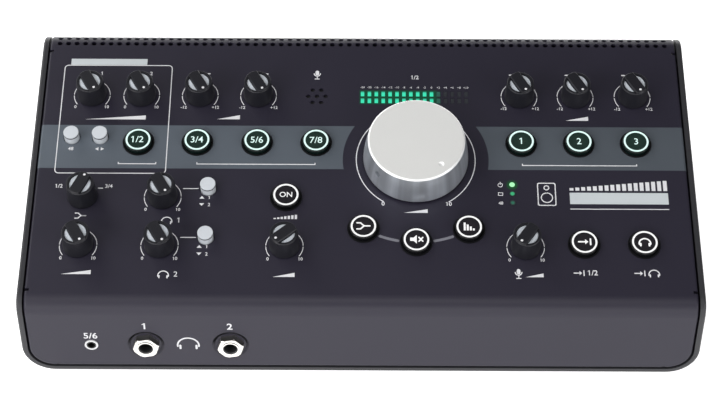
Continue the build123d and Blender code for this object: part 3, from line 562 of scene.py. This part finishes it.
def paintLenses(shader, point):
    # windows of the meter and the three lamps, lit or dark by their place on the panel
    place = placed(panelPlace, Vector=point)
    u, v = place["u"], place["v"]
    edge = meter["firstU"] + (meter["litColumns"] - 0.5) * meter["pitch"]
    inMeter = worked("GREATER_THAN", v, meter["rows"][0] - meter["pitch"])
    rise = worked("SUBTRACT", v, meter["rows"][0] - meter["window"][1] / 2)
    share = worked("FRACT", worked("DIVIDE", rise, meter["rows"][1] - meter["rows"][0]))
    level = eased(share, *meter["pip"], meter["dim"], 1.0)
    power = allOf(worked("LESS_THAN", u, edge), inMeter, level)
    nextOne = allOf(worked("LESS_THAN", u, edge + meter["pitch"]), inMeter, meter["nextOne"])
    power = worked("MAXIMUM", power, nextOne)
    glow = vectorWorked("SCALE", meter["lit"], scale=power)
    for row, core, colour in zip(lamps["rows"], lamps["cores"], lamps["colours"]):
        away = distanceFrom(place, (lamps["u"], row))
        glow = mixed(eased(away, lamps["radius"], core), glow, colour)
    outside = worked("GREATER_THAN", place["height"], -meter["wall"])
    give(shader, Emission_Color=vectorWorked("SCALE", glow, scale=outside), Emission_Strength=1.0)


volumeMetal = {  # its finish's edge and side, over the recipe's face
    "edge": {"Base Color": (0.95, 0.95, 0.95), "Roughness": 0.4, "Metallic": 0.25},
    "side": {"Base Color": (0.66, 0.7, 0.76), "Roughness": 0.3, "Metallic": 0.75},
    "edgeHeight": 17.85, "top": 18.6, "faceSkin": 0.04, "marksPerMm": 5.5, "markDepth": 0.003,
    # soft upright bands, lighter and darker, on the side: painted reflection
    "reflectionLevels": (0.7, 1.15), "reflectionNoise": (2.6, 3.0), "reflectionEdge": (0.35, 0.65),
}


def turnMetal(shader, point):
    # blasted top, bright cut edge, and a side with fine turning marks and soft upright bands of painted reflection
    knob, place = volumeMetal, placed(panelPlace, Vector=point)
    height = place["height"]
    rim = worked("LESS_THAN", height, knob["top"] - knob["faceSkin"])
    side = worked("LESS_THAN", height, knob["edgeHeight"])
    direction = vectorWorked("NORMALIZE", vectorWorked("SUBTRACT", flatPlace(place), (volumeU, volumeV, 0.0)))
    # painted reflection: the side's colour swings lighter and darker in soft upright bands round the knob
    paintedReflection = eased(noise(direction, *knob["reflectionNoise"]), *knob["reflectionEdge"], *knob["reflectionLevels"])
    reflectionBandedSide = vectorWorked("SCALE", knob["side"]["Base Color"], scale=paintedReflection)
    for mask, values in ((rim, knob["edge"]), (side, {**knob["side"], "Base Color": reflectionBandedSide})):
        for name, value in values.items():
            overlaid(shader, mask, value, name)
    wave = worked("SINE", worked("MULTIPLY", height, 2 * math.pi * knob["marksPerMm"]))
    bump = fedTo(shader.inputs["Normal"]).node.inputs["Height"]
    feed(bump, worked("ADD", fedTo(bump), allOf(wave, side, knob["markDepth"] * mm)))


boardTracks = {"scale": 130.0, "line": 0.03, "colour": (0.02, 0.13, 0.055)}


def layBoard(shader, point):
    # green solder mask with lighter tracks under it
    tracks = node(shader.id_data, "ShaderNodeTexBrick")
    give(tracks, Vector=point, Scale=boardTracks["scale"], Mortar_Size=boardTracks["line"])
    overlaid(shader, tracks.outputs["Fac"], boardTracks["colour"])


bushEnds = {
    # faces of the bush that look out less than this, the bore's lead-in among them, stay black as painted shade
    "facing": 0.8, "lifts": (-1.2, 0.2),  # over the front and the rear
    "blackFrom": 92.0,                    # all black, from this far out on the rear panel
}
# the nuts' flats: a darker grey that is painted shade, and a higher roughness
nutFlatsShade = {"facing": 0.6, "lifts": (-10.0, -10.0), "colour": (0.42, 0.41, 0.39), "roughness": 0.35}


def facingMask(point, least, lifts):
    # faces that look out of the front or the rear, past a height over it
    masks, normals = [], node(point.id_data, "ShaderNodeTexCoord").outputs["Normal"]
    for group, lift in zip((frontPlace, rearPlace), lifts):
        place = placed(group, Vector=point, Normal=normals)
        masks.append(allOf(worked("GREATER_THAN", place["facing"], least),
                           worked("GREATER_THAN", place["height"], lift)))
    return worked("MAXIMUM", *masks)


def mouldSockets(shader, point):
    # a black moulding whose threaded bush ends in nickel, past the wall, round a bore whose walls keep the
    # moulding's black as painted shade
    bush = facingMask(point, bushEnds["facing"], bushEnds["lifts"])
    place = placed(rearPlace, Vector=point)
    combined = allOf(worked("GREATER_THAN", place["u"], bushEnds["blackFrom"]),
                     worked("GREATER_THAN", place["height"], 0.0))
    bush = worked("MULTIPLY", bush, worked("SUBTRACT", 1.0, combined))
    overlaid(shader, bush, recipes["nickel"]["colour"])
    overlaid(shader, bush, recipes["nickel"]["roughness"], "Roughness")
    give(shader, Metallic=bush)


def shadeDullFlats(shader, point):
    # bright faces, and flats in a darker grey as painted shade, with a duller gloss
    shadedFlats = worked("SUBTRACT", 1.0, facingMask(point, nutFlatsShade["facing"], nutFlatsShade["lifts"]))
    overlaid(shader, shadedFlats, nutFlatsShade["colour"])
    overlaid(shader, shadedFlats, nutFlatsShade["roughness"], "Roughness")


# the small socket's mouth, painted near black as shade in the hole
mouth = {"u": -136.75, "radius": 2.45, "colour": (0.008, 0.008, 0.008)}


def ringSocket(shader, point):
    # the small socket's white ring, round a mouth painted near black as shade in the hole
    away = distanceFrom(placed(frontPlace, Vector=point), (mouth["u"], dish["v"]))
    overlaid(shader, worked("LESS_THAN", away, mouth["radius"]), mouth["colour"])


groove = {"low": 3.6, "high": 4.4, "soft": 0.15, "colour": (0.1, 0.105, 0.115)}


def shadeCaps(shader, point):
    # white caps with the groove under their top disc in its own shade
    height, soft = placed(panelPlace, Vector=point)["height"], groove["soft"]
    shade = allOf(eased(height, groove["low"] - soft, groove["low"] + soft),
                  eased(height, groove["high"] + soft, groove["high"] - soft))
    overlaid(shader, shade, groove["colour"])


clouds = (0.3, 0.7)  # of a noise, from its dark to its light
diffuser = {"scale": 900.0, "range": (0.92, 1.05), "ownShade": 0.2, "roughness": 0.4}
smokedFace = {
    "scale": 700.0, "range": (0.85, 1.1), "fade": (0.15, 1.0), "roughness": (0.2, 0.27),
    "colour": (0.005, 0.006, 0.006), "specular": 0.25,
}


def glowFinish(name, colour, strength):
    # light through a printed diffuser, in soft clouds over its own darker colour
    material, shader, point = newFinish(name)
    cloud = eased(noise(point, diffuser["scale"]), *clouds, *diffuser["range"])
    glow = vectorWorked("SCALE", colour, scale=cloud)
    give(shader, Emission_Color=glow, Base_Color=vectorWorked("SCALE", glow, scale=diffuser["ownShade"]),
         Emission_Strength=strength, Roughness=diffuser["roughness"])
    return material


def keyFaceFinish(name, middle, rim):
    # a smoked face lit from under its middle, by the distance on the piece's own UV map
    material, shader, point = newFinish(name)
    flat = node(shader.id_data, "ShaderNodeUVMap", uv_map="face").outputs[0]
    away = vectorWorked("LENGTH", flat, output="Value")
    cloud = eased(noise(point, smokedFace["scale"]), *clouds, *smokedFace["range"])
    glow = mixed(eased(away, *smokedFace["fade"]), middle, rim)
    give(shader, Emission_Color=vectorWorked("SCALE", glow, scale=cloud), Emission_Strength=1.0,
         Roughness=eased(cloud, *smokedFace["range"], *smokedFace["roughness"]),
         Base_Color=smokedFace["colour"], Specular_IOR_Level=smokedFace["specular"])
    return material


litColours = {  # colour and strength
    "litWhite": ((1.0, 1.0, 1.0), 0.85),
    "litMint": ((0.76, 1.0, 0.95), 0.93),
}
keyFaceColours = {  # glow at the middle and at the rim
    "keyFaceGreen": ((0.014, 0.031, 0.024), (0.008, 0.024, 0.018)),
    "keyFaceDark": ((0.016, 0.012, 0.016), (0.011, 0.009, 0.012)),
}
workedFinishes = {
    "coverPaint": paintCover, "lensGlow": paintLenses, "volumeMetal": turnMetal, "boardGreen": layBoard,
    "socketMoulding": mouldSockets, "nickel": shadeDullFlats, "ringWhite": ringSocket, "capWhite": shadeCaps,
}
finishes = {}
for name, recipe in recipes.items():
    finishes[name], shader, point = plainFinish(name, recipe)
    if name in workedFinishes:
        workedFinishes[name](shader, point)
for name, values in litColours.items():
    finishes[name] = glowFinish(name, *values)
for name, values in keyFaceColours.items():
    finishes[name] = keyFaceFinish(name, *values)
print("finishes made:", len(finishes))

slotFinishes = {  # the record's material slots
    "tray_paint": "trayPaint", "cover_paint": "coverPaint", "rear_paint": "rearPaint",
    "foot_rubber": "footRubber", "zinc_screw": "blackZinc", "board_green": "boardGreen",
    "spacer_steel": "brightZinc", "switch_body": "moulded", "pot_body": "stamped",
    "knob_plastic": "knobPlastic", "volume_metal": "volumeMetal", "hub_plastic": "hubPlastic",
    "key_green": "keySmokeGreen", "key_black": "keySmoke", "bezel_black": "bezelBlack",
    "button_white": "capWhite", "lens_clear": "lensGlow", "boot_rubber": "bootRubber",
    "socket_plastic": "socketMoulding", "nickel": "nickel", "ring_white": "ringWhite",
    "rocker_black": "rockerBlack",
}
for name, cadNode in cadNodes.items():
    cadNode.data.materials.clear()
    cadNode.data.materials.append(finishes[slotFinishes[nodeSlots[name]]])

# The small knobs' inlays and pointer dots
inlay = {
    "radius": 5.6, "chord": 2.98, "floor": 11.8, "thickness": 0.5, "edge": 9, "ends": 0.985,
    "rows": 15, "columns": 31,
}
pointerDot = {
    "radius": 0.66, "reach": 5.15, "rise": 0.08,
    "shares": ((1, 0), (1, 0.3), (0.85, 0.75), (0.5, 1)),  # of the radius and of the rise, up its dome
}
travelEnd = 150.0  # degrees from straight up to a small knob's stops
cuePointer = 25.0
smallKnobs = [name for name in cadNodes if nodeSlots[name] == "knob_plastic"]


def knobPlace(name):
    # where a knob's axis meets the panel
    u, v, _ = onSurface(panel, joints[name + "_turn"]["pos_m"])
    return u, v


def inlayPlate(side):
    # a circle's segment: rows run from the chord out to the circle and columns along it. Its height
    # falls to nothing round the border, by a high power of the nearer border's share
    across = np.linspace(0, 1, inlay["rows"])[:, None]
    along = np.linspace(-1, 1, inlay["columns"])[None, :] + 0 * across
    y = inlay["ends"] * math.sqrt(inlay["radius"] ** 2 - inlay["chord"] ** 2) * along
    x = inlay["chord"] + across * (np.sqrt(inlay["radius"] ** 2 - y**2) - inlay["chord"])
    border = np.maximum(np.abs(2 * across - 1), np.abs(along))
    top = inlay["thickness"] * (1 - border ** inlay["edge"])
    faces = gridFaces(inlay["rows"], inlay["columns"])
    return [(np.stack([side * x, y, z], -1).reshape(-1, 3), faces) for z in (top, 0 * top)]


def dressKnob(name, pointer):
    # two inlays beside the grip bar and a low dome at its end, turned with the pointer
    u, v = knobPlace(name)
    plates = [moved(part, u, v, inlay["floor"], pointer) for side in (-1, 1) for part in inlayPlate(side)]
    makePiece("inlay_" + name, plates, "inlaySilver", name, panel)
    shares = np.array(pointerDot["shares"])
    dome = turned(shares * [pointerDot["radius"], pointerDot["rise"]], 24)
    dot = moved(moved(dome, 0, pointerDot["reach"]), turn=pointer)
    makePiece("pointer_" + name, [moved(dot, u, v, topOf(name)[2])], "inkWhite", name, panel)


for name in smallKnobs:
    stop = joints[name + "_turn"]["range_deg"][1] - travelEnd
    dressKnob(name, cuePointer if name == "cue_source_knob" else stop)
print("knobs dressed:", len(smallKnobs))


# Signs, each a list of parts round zero


def headphones(width, line):
    # a hoop over two ear pads
    half = width / 2
    pads = [dash((x, -half * 0.02), (x, -half * 0.42), line * 1.3) for x in (-half * 0.76, half * 0.76)]
    return [inked(stroke(arc(half, -98, 98, 40), line)), *pads]


def speakerSign(size, line):
    # a loudspeaker's horn with a cross beside it
    h = size / 2
    horn = [(-h, h * 0.3), (-h * 0.45, h * 0.3), (0.05 * h, h * 0.8), (0.05 * h, -h * 0.8),
            (-h * 0.45, -h * 0.3), (-h, -h * 0.3)]
    return [inked(horn), dash((h * 0.4, h * 0.35), (h, -h * 0.35), line),
            dash((h * 0.4, -h * 0.35), (h, h * 0.35), line)]


def levelBars(count, width, height, falling=False):
    # bars that grow, or shrink, from left to right
    bar = width / (count * 1.5 - 0.5)
    parts = []
    for i in range(count):
        tall = height * (0.25 + 0.75 * (count - 1 - i if falling else i) / (count - 1))
        x, low = -width / 2 + bar * 1.5 * i, -height / 2
        parts.append(inked([(x, low), (x + bar, low), (x + bar, low + tall), (x, low + tall)]))
    return parts


def joinSign(size, line):
    # two lines that run into one
    h = size / 2
    paths = [[(-h, up * 0.55), (-h * 0.45, up * 0.55), (0, up * 0.1), (h * 0.2, 0), (h, 0)]
             for up in (-h, h)]
    return [inked(stroke(path, line)) for path in paths]


def arrowSign(size, line):
    # an arrow that runs against a bar
    h = size / 2
    head = [(h * 0.1, h * 0.5), (h * 0.62, 0), (h * 0.1, -h * 0.5)]
    return [dash((-h, 0), (h * 0.08, 0), line), inked(head), dash((h, -h * 0.55), (h, h * 0.55), line)]


def rampSign(width, height):
    # a long wedge that rises to the right
    return [inked([(-width / 2, -height / 2), (width / 2, -height / 2), (width / 2, height / 2)])]


def micSign(size, line):
    # a capsule in its cradle, on a stem
    return [inked(roundedBox(size * 0.34, size * 0.56, size * 0.165, (0, size * 0.22))),
            inked(stroke(arc(size * 0.3, 90, 270, 24, (0, size * 0.16)), line)),
            dash((0, -size * 0.18), (0, -size * 0.42), line),
            dash((-size * 0.2, -size * 0.47), (size * 0.2, -size * 0.47), line)]


def speakerBox(width, height, line):
    # a loudspeaker's box with a large and a small cone
    inner = roundedBox(width - 2 * line, height - 2 * line, 1.0 - line / 2)
    return [inked(roundedBox(width, height, 1.0), inner),
            inked(*ring(width * 0.3, line, (0, -height * 0.15))),
            inked(*ring(width * 0.13, line, (0, height * 0.28)))]


# The keys' lit rings, smoked faces and signs
keyRing = {
    "inner": 5.52, "outer": 6.46, "rise": 0.07, "edgeShare": 0.8, "faceRadius": 5.44, "faceRise": 0.03,
    "figure": 3.8, "middle": 0.05,
}
bold = 0.004  # how far a figure's outline is moved out, as a share of its type size
figure = keyRing["figure"]
keyNumbers = {
    "input_key": "1/2", "source_key_a": "3/4", "source_key_b": "5/6", "source_key_c": "7/8",
    "monitor_key_a": "1", "monitor_key_b": "2", "monitor_key_c": "3",
}
keySigns = {name: [figures(number, figure, bold)] for name, number in keyNumbers.items()}
keySigns.update(
    studio_on_key=[figures("ON", figure * 0.8, bold)], mono_key=joinSign(6.6, 0.75),
    mute_key=speakerSign(6.4, 0.75), dim_key=levelBars(4, 5.6, 4.6, falling=True),
    talk_to_track_key=arrowSign(6.0, 0.8),
    talk_to_cue_key=[moved(part, 0, -0.9) for part in headphones(5.8, 0.75)])


def dressKey(name, sign):
    # a turned ring with slanted edges, with the sign inside, over a disc whose UV map runs from its middle
    u, v, top = topOf(name)
    green = nodeSlots[name] == "key_green"
    inner, outer, rise = keyRing["inner"], keyRing["outer"], keyRing["rise"]
    edge = rise * keyRing["edgeShare"]
    band = turned([(inner, 0), (inner, rise - edge / 2), (inner + edge, rise), (outer - edge, rise),
                   (outer, rise - edge / 2), (outer, 0)], 64, closedProfile=True)
    parts = [band] + [moved(part, height=keyRing["faceRise"]) for part in sign]
    makePiece("sign_" + name, [moved(part, u, v, top) for part in parts],
              "litMint" if green else "litWhite", name, panel)
    radius, faceRise = keyRing["faceRadius"], keyRing["faceRise"]
    disc = turned([(radius, 0), (radius, faceRise), (radius * 0.66, faceRise), (radius * 0.33, faceRise),
                   (keyRing["middle"], faceRise)], 48)
    makePiece("face_" + name, [moved(disc, u, v, top)], "keyFaceGreen" if green else "keyFaceDark",
              name, panel, uv=disc[0][:, :2] / radius)


for name, sign in keySigns.items():
    dressKey(name, sign)
print("keys dressed:", len(keySigns))

# Printing on the control panel
whiteMarks, greyMarks, plateMarks = [], [], []


def mark(parts, u=0.0, v=0.0, marks=whiteMarks):
    # parts moved to a place, for the piece of one ink
    marks.extend(moved(part, u, v) for part in parts)


dial = {  # angles in degrees from straight up, places from the knob's axis
    "radius": 9.5, "line": 0.42, "arcs": ((-127, -93), (-87, 87), (93, 127)), "numberHeight": 1.75,
    "numberU": 8.4, "numberV": -7.5, "backV": 14.3, "backNumberU": 4.3, "backNumberHeight": 2.2,
    "dash": (3.1, 4.6), "dashLine": 0.7,
}
for name in smallKnobs:
    if name == "cue_source_knob":
        continue
    u, v = knobPlace(name)
    for ends in dial["arcs"]:
        mark([inked(stroke(arc(dial["radius"], *ends), dial["line"]))], u, v)
    trim = "trim" in name
    for side, number in zip((-1, 1), ("-12", "+12") if trim else ("0", "10")):
        mark([figures(number, dial["numberHeight"])], u + side * dial["numberU"], v + dial["numberV"])
        if trim:
            near, far = dial["dash"]
            mark([dash((side * near, 0), (side * far, 0), dial["dashLine"])], u, v + dial["backV"])
    if "gain" in name:
        mark([figures(name[-1], dial["backNumberHeight"])], u + dial["backNumberU"], v + dial["backV"])

volumeDial = {
    "radius": 30.96, "line": 0.5, "end": 147.0, "numberHeight": 2.3, "numberU": 17.0, "numberV": -27.2,
}
path = arc(volumeDial["radius"], -volumeDial["end"], volumeDial["end"], 120)
mark([inked(stroke(path, volumeDial["line"]))], volumeU, volumeV)
for side, number in ((-1, "0"), (1, "10")):
    mark([figures(number, volumeDial["numberHeight"])], volumeU + side * volumeDial["numberU"],
         volumeV + volumeDial["numberV"])

# Grey arcs that join the three keys under the volume knob
keyArc = {"radius": 50.3, "line": 1.5, "clear": 9.4, "keys": ("mono_key", "mute_key", "dim_key")}
keyTurns = [math.degrees(math.atan2(topOf(name)[0] - volumeU, topOf(name)[1] - volumeV)) % 360
            for name in keyArc["keys"]]
clearTurn = math.degrees(keyArc["clear"] / keyArc["radius"])
for start, end in zip(keyTurns[1:], keyTurns):
    path = arc(keyArc["radius"], start + clearTurn, end - clearTurn)
    mark([inked(stroke(path, keyArc["line"]))], volumeU, volumeV, greyMarks)

# A rounded frame round the two gain knobs, and light bars
preampFrame = {"centre": (-130.65, 112.94), "size": (57.5, 68.8), "corner": 2.0, "line": 0.5}
(wide, high), line = preampFrame["size"], preampFrame["line"]
outlines = [roundedBox(wide + out, high + out, preampFrame["corner"] + out / 2) for out in (line, -line)]
mark([inked(*outlines)], *preampFrame["centre"])
plates = {  # centre and size
    "tab": ((-135.9, 149.65), (40.8, 3.9)),
    "nameBar": ((132.55, 64.35), (50.7, 6.9)),
}
for centre, (wide, high) in plates.values():
    mark([inked(roundedBox(wide, high, 0.15, steps=3))], *centre, plateMarks)

meterScale = {
    "numbers": "-24 -20 -16 -14 -12 -10 -8 -6 -4 -2 0 +2 +4 +6 +8 +10",
    "height": 1.2, "weight": 0.005, "v": 133.7,
}
for column, number in enumerate(meterScale["numbers"].split()):
    mark([figures(number, meterScale["height"], meterScale["weight"])],
         meter["firstU"] + column * meter["pitch"], meterScale["v"])

signs = [  # what, and the (u, v) of its middle
    (rampSign(32.0, 2.6), -130.2, 113.6),
    (rampSign(12.0, 2.6), -70.5, 114.0),
    (rampSign(12.0, 2.6), 113.3, 114.0),
    (micSign(5.6, 0.5), -24.1, 141.6),
    ([figures("1/2", 2.4)], 28.3, 140.3),
    (rampSign(12.0, 2.2), 27.9, 56.3),
    ([figures("48", 2.0)], -152.2, 93.7),
    ([figures("1/2", 2.2)], -156.2, 70.6),
    ([figures("3/4", 2.2)], -130.6, 70.6),
    (headphones(5.4, 0.55), -99.6, 49.2),
    ([figures("1", 3.0, bold)], -93.4, 50.2),
    (headphones(5.4, 0.55), -99.6, 17.4),
    ([figures("2", 3.0, bold)], -93.4, 18.4),
    (rampSign(15.0, 2.4), -143.6, 19.3),
    (joinSign(5.6, 0.6), -143.9, 52.6),
    (levelBars(7, 12.0, 2.6), -39.0, 52.4),
    (rampSign(11.0, 2.4), -39.0, 18.2),
    (micSign(5.6, 0.5), 79.2, 19.4),
    (rampSign(9.0, 2.2), 87.2, 18.6),
    (arrowSign(5.0, 0.6), 109.6, 20.0),
    ([figures("1/2", 2.9)], 116.8, 20.2),
    (arrowSign(5.0, 0.6), 140.2, 20.0),
    (headphones(5.4, 0.55), 147.4, 19.2),
    ([figures("48", 1.7)], 71.6, 61.3),
    ([inked(roundedBox(2.6, 2.0, 0.3), roundedBox(1.9, 1.3, 0.2))], 71.6, 66.8),
    ([inked(*ring(1.15, 0.35)), dash((0, 0.3), (0, 1.7), 0.4)], 71.6, 72.3),
    (speakerBox(9.6, 14.0, 0.55), 95.4, 66.8),
    (levelBars(17, 50.4, 6.2), 132.5, 72.2),
    ([dash((-25.2, 0), (25.2, 0), 0.45)], 132.5, 57.9),
    ([dash((-1.1, 0), (1.1, 0), 0.5)], -134.9, 69.3),
]
for sign, u, v in signs:
    mark(sign, u, v)

# A line under a group of controls, with its ends turned up
brackets = {"ends": ((-127.0, -107.0), (-86.1, -24.1), (83.3, 143.2)), "v": 84.2, "rise": 1.3, "line": 0.5}
up, line = brackets["rise"], brackets["line"]
for left, right in brackets["ends"]:
    mark([inked([(left, up), (left, 0), (right, 0), (right, up), (right - line, up), (right - line, line),
                 (left + line, line), (left + line, up)])], v=brackets["v"])

sourcePrint = {  # from a phones dial to its source button, and the button's two positions under it
    "rows": (69.3, 39.9), "from": -92.0, "to": -84.4, "line": 0.5,
    "positions": (("1", 5.3, 0.8), ("2", 9.7, -0.8)), "pointU": (-83.5, -80.9, -82.2), "numberU": -78.4,
    "figure": 1.9,
}
for v in sourcePrint["rows"]:
    mark([dash((sourcePrint["from"], v), (sourcePrint["to"], v), sourcePrint["line"])])
    for number, drop, point in sourcePrint["positions"]:
        triangle = inked(list(zip(sourcePrint["pointU"], (-point, -point, point))))
        mark([triangle, moved(figures(number, sourcePrint["figure"]), sourcePrint["numberU"])],
             0, v - drop)
for side in (-1, 1):  # two arrow heads, back to back
    mark([inked(np.array([(0.6, 1.0), (2.4, 0.0), (0.6, -1.0)]) * [side, 1])], -137.1, 93.6)

makePiece("panel_printing", whiteMarks, "inkWhite", "case", panel)
makePiece("key_arc_printing", greyMarks, "inkGrey", "case", panel)
makePiece("plate_printing", plateMarks, "inkPlate", "case", panel)

# Printing on the front face, whose places count down from its corner, and on the rear panel
frontMarks, rearMarks = [], []
for sign, u, v in [([figures("1", 4.2, 0.02)], -109.0, -14.7), ([figures("2", 4.2, 0.02)], -66.1, -14.7),
                   ([figures("5/6", 4.0)], -136.75, -21.8), (headphones(10.8, 0.85), -87.6, -28.6)]:
    mark(sign, u, v, frontMarks)
makePiece("front_printing", frontMarks, "inkWhite", "case", front)

rearRows = {"first": -78.0, "pitch": 24.0, "columns": 7, "heights": (21.5, 45.0), "rise": 9.6, "figure": 2.4}
for row, height in enumerate(rearRows["heights"]):
    for column in range(rearRows["columns"]):
        number = str(1 + column + (1 - row) * rearRows["columns"])
        x = rearRows["first"] + column * rearRows["pitch"]
        mark([figures(number, rearRows["figure"])], -x, height + rearRows["rise"], rearMarks)
rearNumbers = (  # of the combined inputs and of the power switch: across, height and number
    (-142.0, 48.6, "1"), (-111.0, 48.6, "2"), (138.5, 44.0, "0"), (149.5, 44.0, "1"))
for x, height, number in rearNumbers:
    mark([figures(number, 3.0)], -x, height, rearMarks)
makePiece("rear_printing", rearMarks, "inkWhite", "case", rear)
allMarks = whiteMarks + greyMarks + plateMarks + frontMarks + rearMarks
print("printed:", len(allMarks), "marks")

# Floor, lamps, sky and camera
floorLook = {
    "colour": (0.86, 0.86, 0.865), "half": 6.0, "lift": 0.85, "pool": (0.5, 2.2), "far": 0.3,
    "scale": 3.0, "range": (0.985, 1.0), "roughness": 0.7, "specular": 0.2,
}
lampSet = {  # place, size and power
    "leftHigh": ((-1.1, -0.2, 1.1), (1.0, 1.0), 7.0),
    "frontLeft": ((-1.1, -1.1, 0.7), (0.7, 0.9), 11.0),
    "frontRight": ((1.2, -0.9, 0.6), (0.7, 0.9), 7.0),
    "lowFront": ((0.0, -1.6, 0.45), (1.6, 0.6), 8.0),
    "rearLeft": ((-1.0, 0.9, 0.9), (0.8, 0.8), 6.5),
    "topFront": ((0.0, -0.55, 1.35), (1.0, 0.6), 4.0),
    "rearLow": ((0.0, 1.5, 0.3), (2.4, 0.4), 11.0),
}
aimHeight = 0.05
sky = {"horizon": 0.24, "zenith": 0.13, "top": 0.9}
viewPoint = {
    "place": (1.67, -488.26, 880.6), "across": (1.0, 0.0049, 0.0008), "back": (0.0019, -0.5305, 0.8477),
    "lens": 100.96, "sensor": 36.0, "shift": (-0.0014, -0.0049), "clip": (0.05, 50.0),
}  # place and directions are on the panel


def buildFloor():
    half = floorLook["half"]
    mesh = bpy.data.meshes.new("floor")
    corners = [(-half, -half, 0), (half, -half, 0), (half, half, 0), (-half, half, 0)]
    mesh.from_pydata(corners, [], [(0, 1, 2, 3)])
    floor = bpy.data.objects.new("floor", mesh)
    bpy.context.scene.collection.objects.link(floor)
    material, shader, point = newFinish("paleFloor")
    tint = eased(noise(point, floorLook["scale"]), *clouds, *floorLook["range"])
    path = node(shader.id_data, "ShaderNodeLightPath").outputs
    # bright to the camera everywhere, and to what mirrors it only near the object
    away = vectorWorked("LENGTH", point, output="Value")
    mirrored = worked("MAXIMUM", path["Is Glossy Ray"], path["Is Transmission Ray"])
    near = eased(away, *floorLook["pool"], 1.0, floorLook["far"])
    seen = worked("MAXIMUM", path["Is Camera Ray"], worked("MULTIPLY", mirrored, near))
    give(shader, Base_Color=vectorWorked("SCALE", floorLook["colour"], scale=tint),
         Roughness=floorLook["roughness"], Specular_IOR_Level=floorLook["specular"],
         Emission_Color=(1, 1, 1), Emission_Strength=worked("MULTIPLY", seen, floorLook["lift"]))
    mesh.materials.append(material)


def buildLamps():
    for name, (place, size, power) in lampSet.items():
        light = bpy.data.lights.new(name, "AREA")
        light.shape, light.energy = "RECTANGLE", power
        light.size, light.size_y = size
        holder = bpy.data.objects.new(name, light)
        holder.location = place
        x, y, z = place
        holder.rotation_euler = (math.atan2(math.hypot(x, y), z - aimHeight), 0, math.atan2(x, -y))
        bpy.context.scene.collection.objects.link(holder)


def buildSky():
    world = bpy.data.worlds.new("studio")
    bpy.context.scene.world = world
    world.use_nodes = True
    tree = world.node_tree
    split = node(tree, "ShaderNodeSeparateXYZ")
    feed(split.inputs[0], node(tree, "ShaderNodeTexCoord").outputs["Generated"])
    give(tree.nodes["Background"], Color=(1, 1, 1),
         Strength=eased(split.outputs[2], 0.0, sky["top"], sky["horizon"], sky["zenith"]))


def buildCamera():
    camera = bpy.data.cameras.new("view")
    camera.lens, camera.sensor_width = viewPoint["lens"], viewPoint["sensor"]
    camera.shift_x, camera.shift_y = viewPoint["shift"]
    camera.clip_start, camera.clip_end = viewPoint["clip"]
    holder = bpy.data.objects.new("view", camera)
    bpy.context.scene.collection.objects.link(holder)
    across, back = np.array(viewPoint["across"]) @ panel["axes"], np.array(viewPoint["back"]) @ panel["axes"]
    up = np.cross(back, across)
    matrix = np.eye(4)
    matrix[:3, :3] = np.stack([across, up, back], -1) / [np.linalg.norm(axis) for axis in (across, up, back)]
    matrix[:3, 3] = inFrame(panel, viewPoint["place"])
    holder.matrix_world = Matrix(matrix.tolist())
    bpy.context.scene.camera = holder


buildFloor()
buildLamps()
buildSky()
buildCamera()
bpy.context.scene.view_settings.view_transform = "Standard"
print("stage, lamps and camera set")
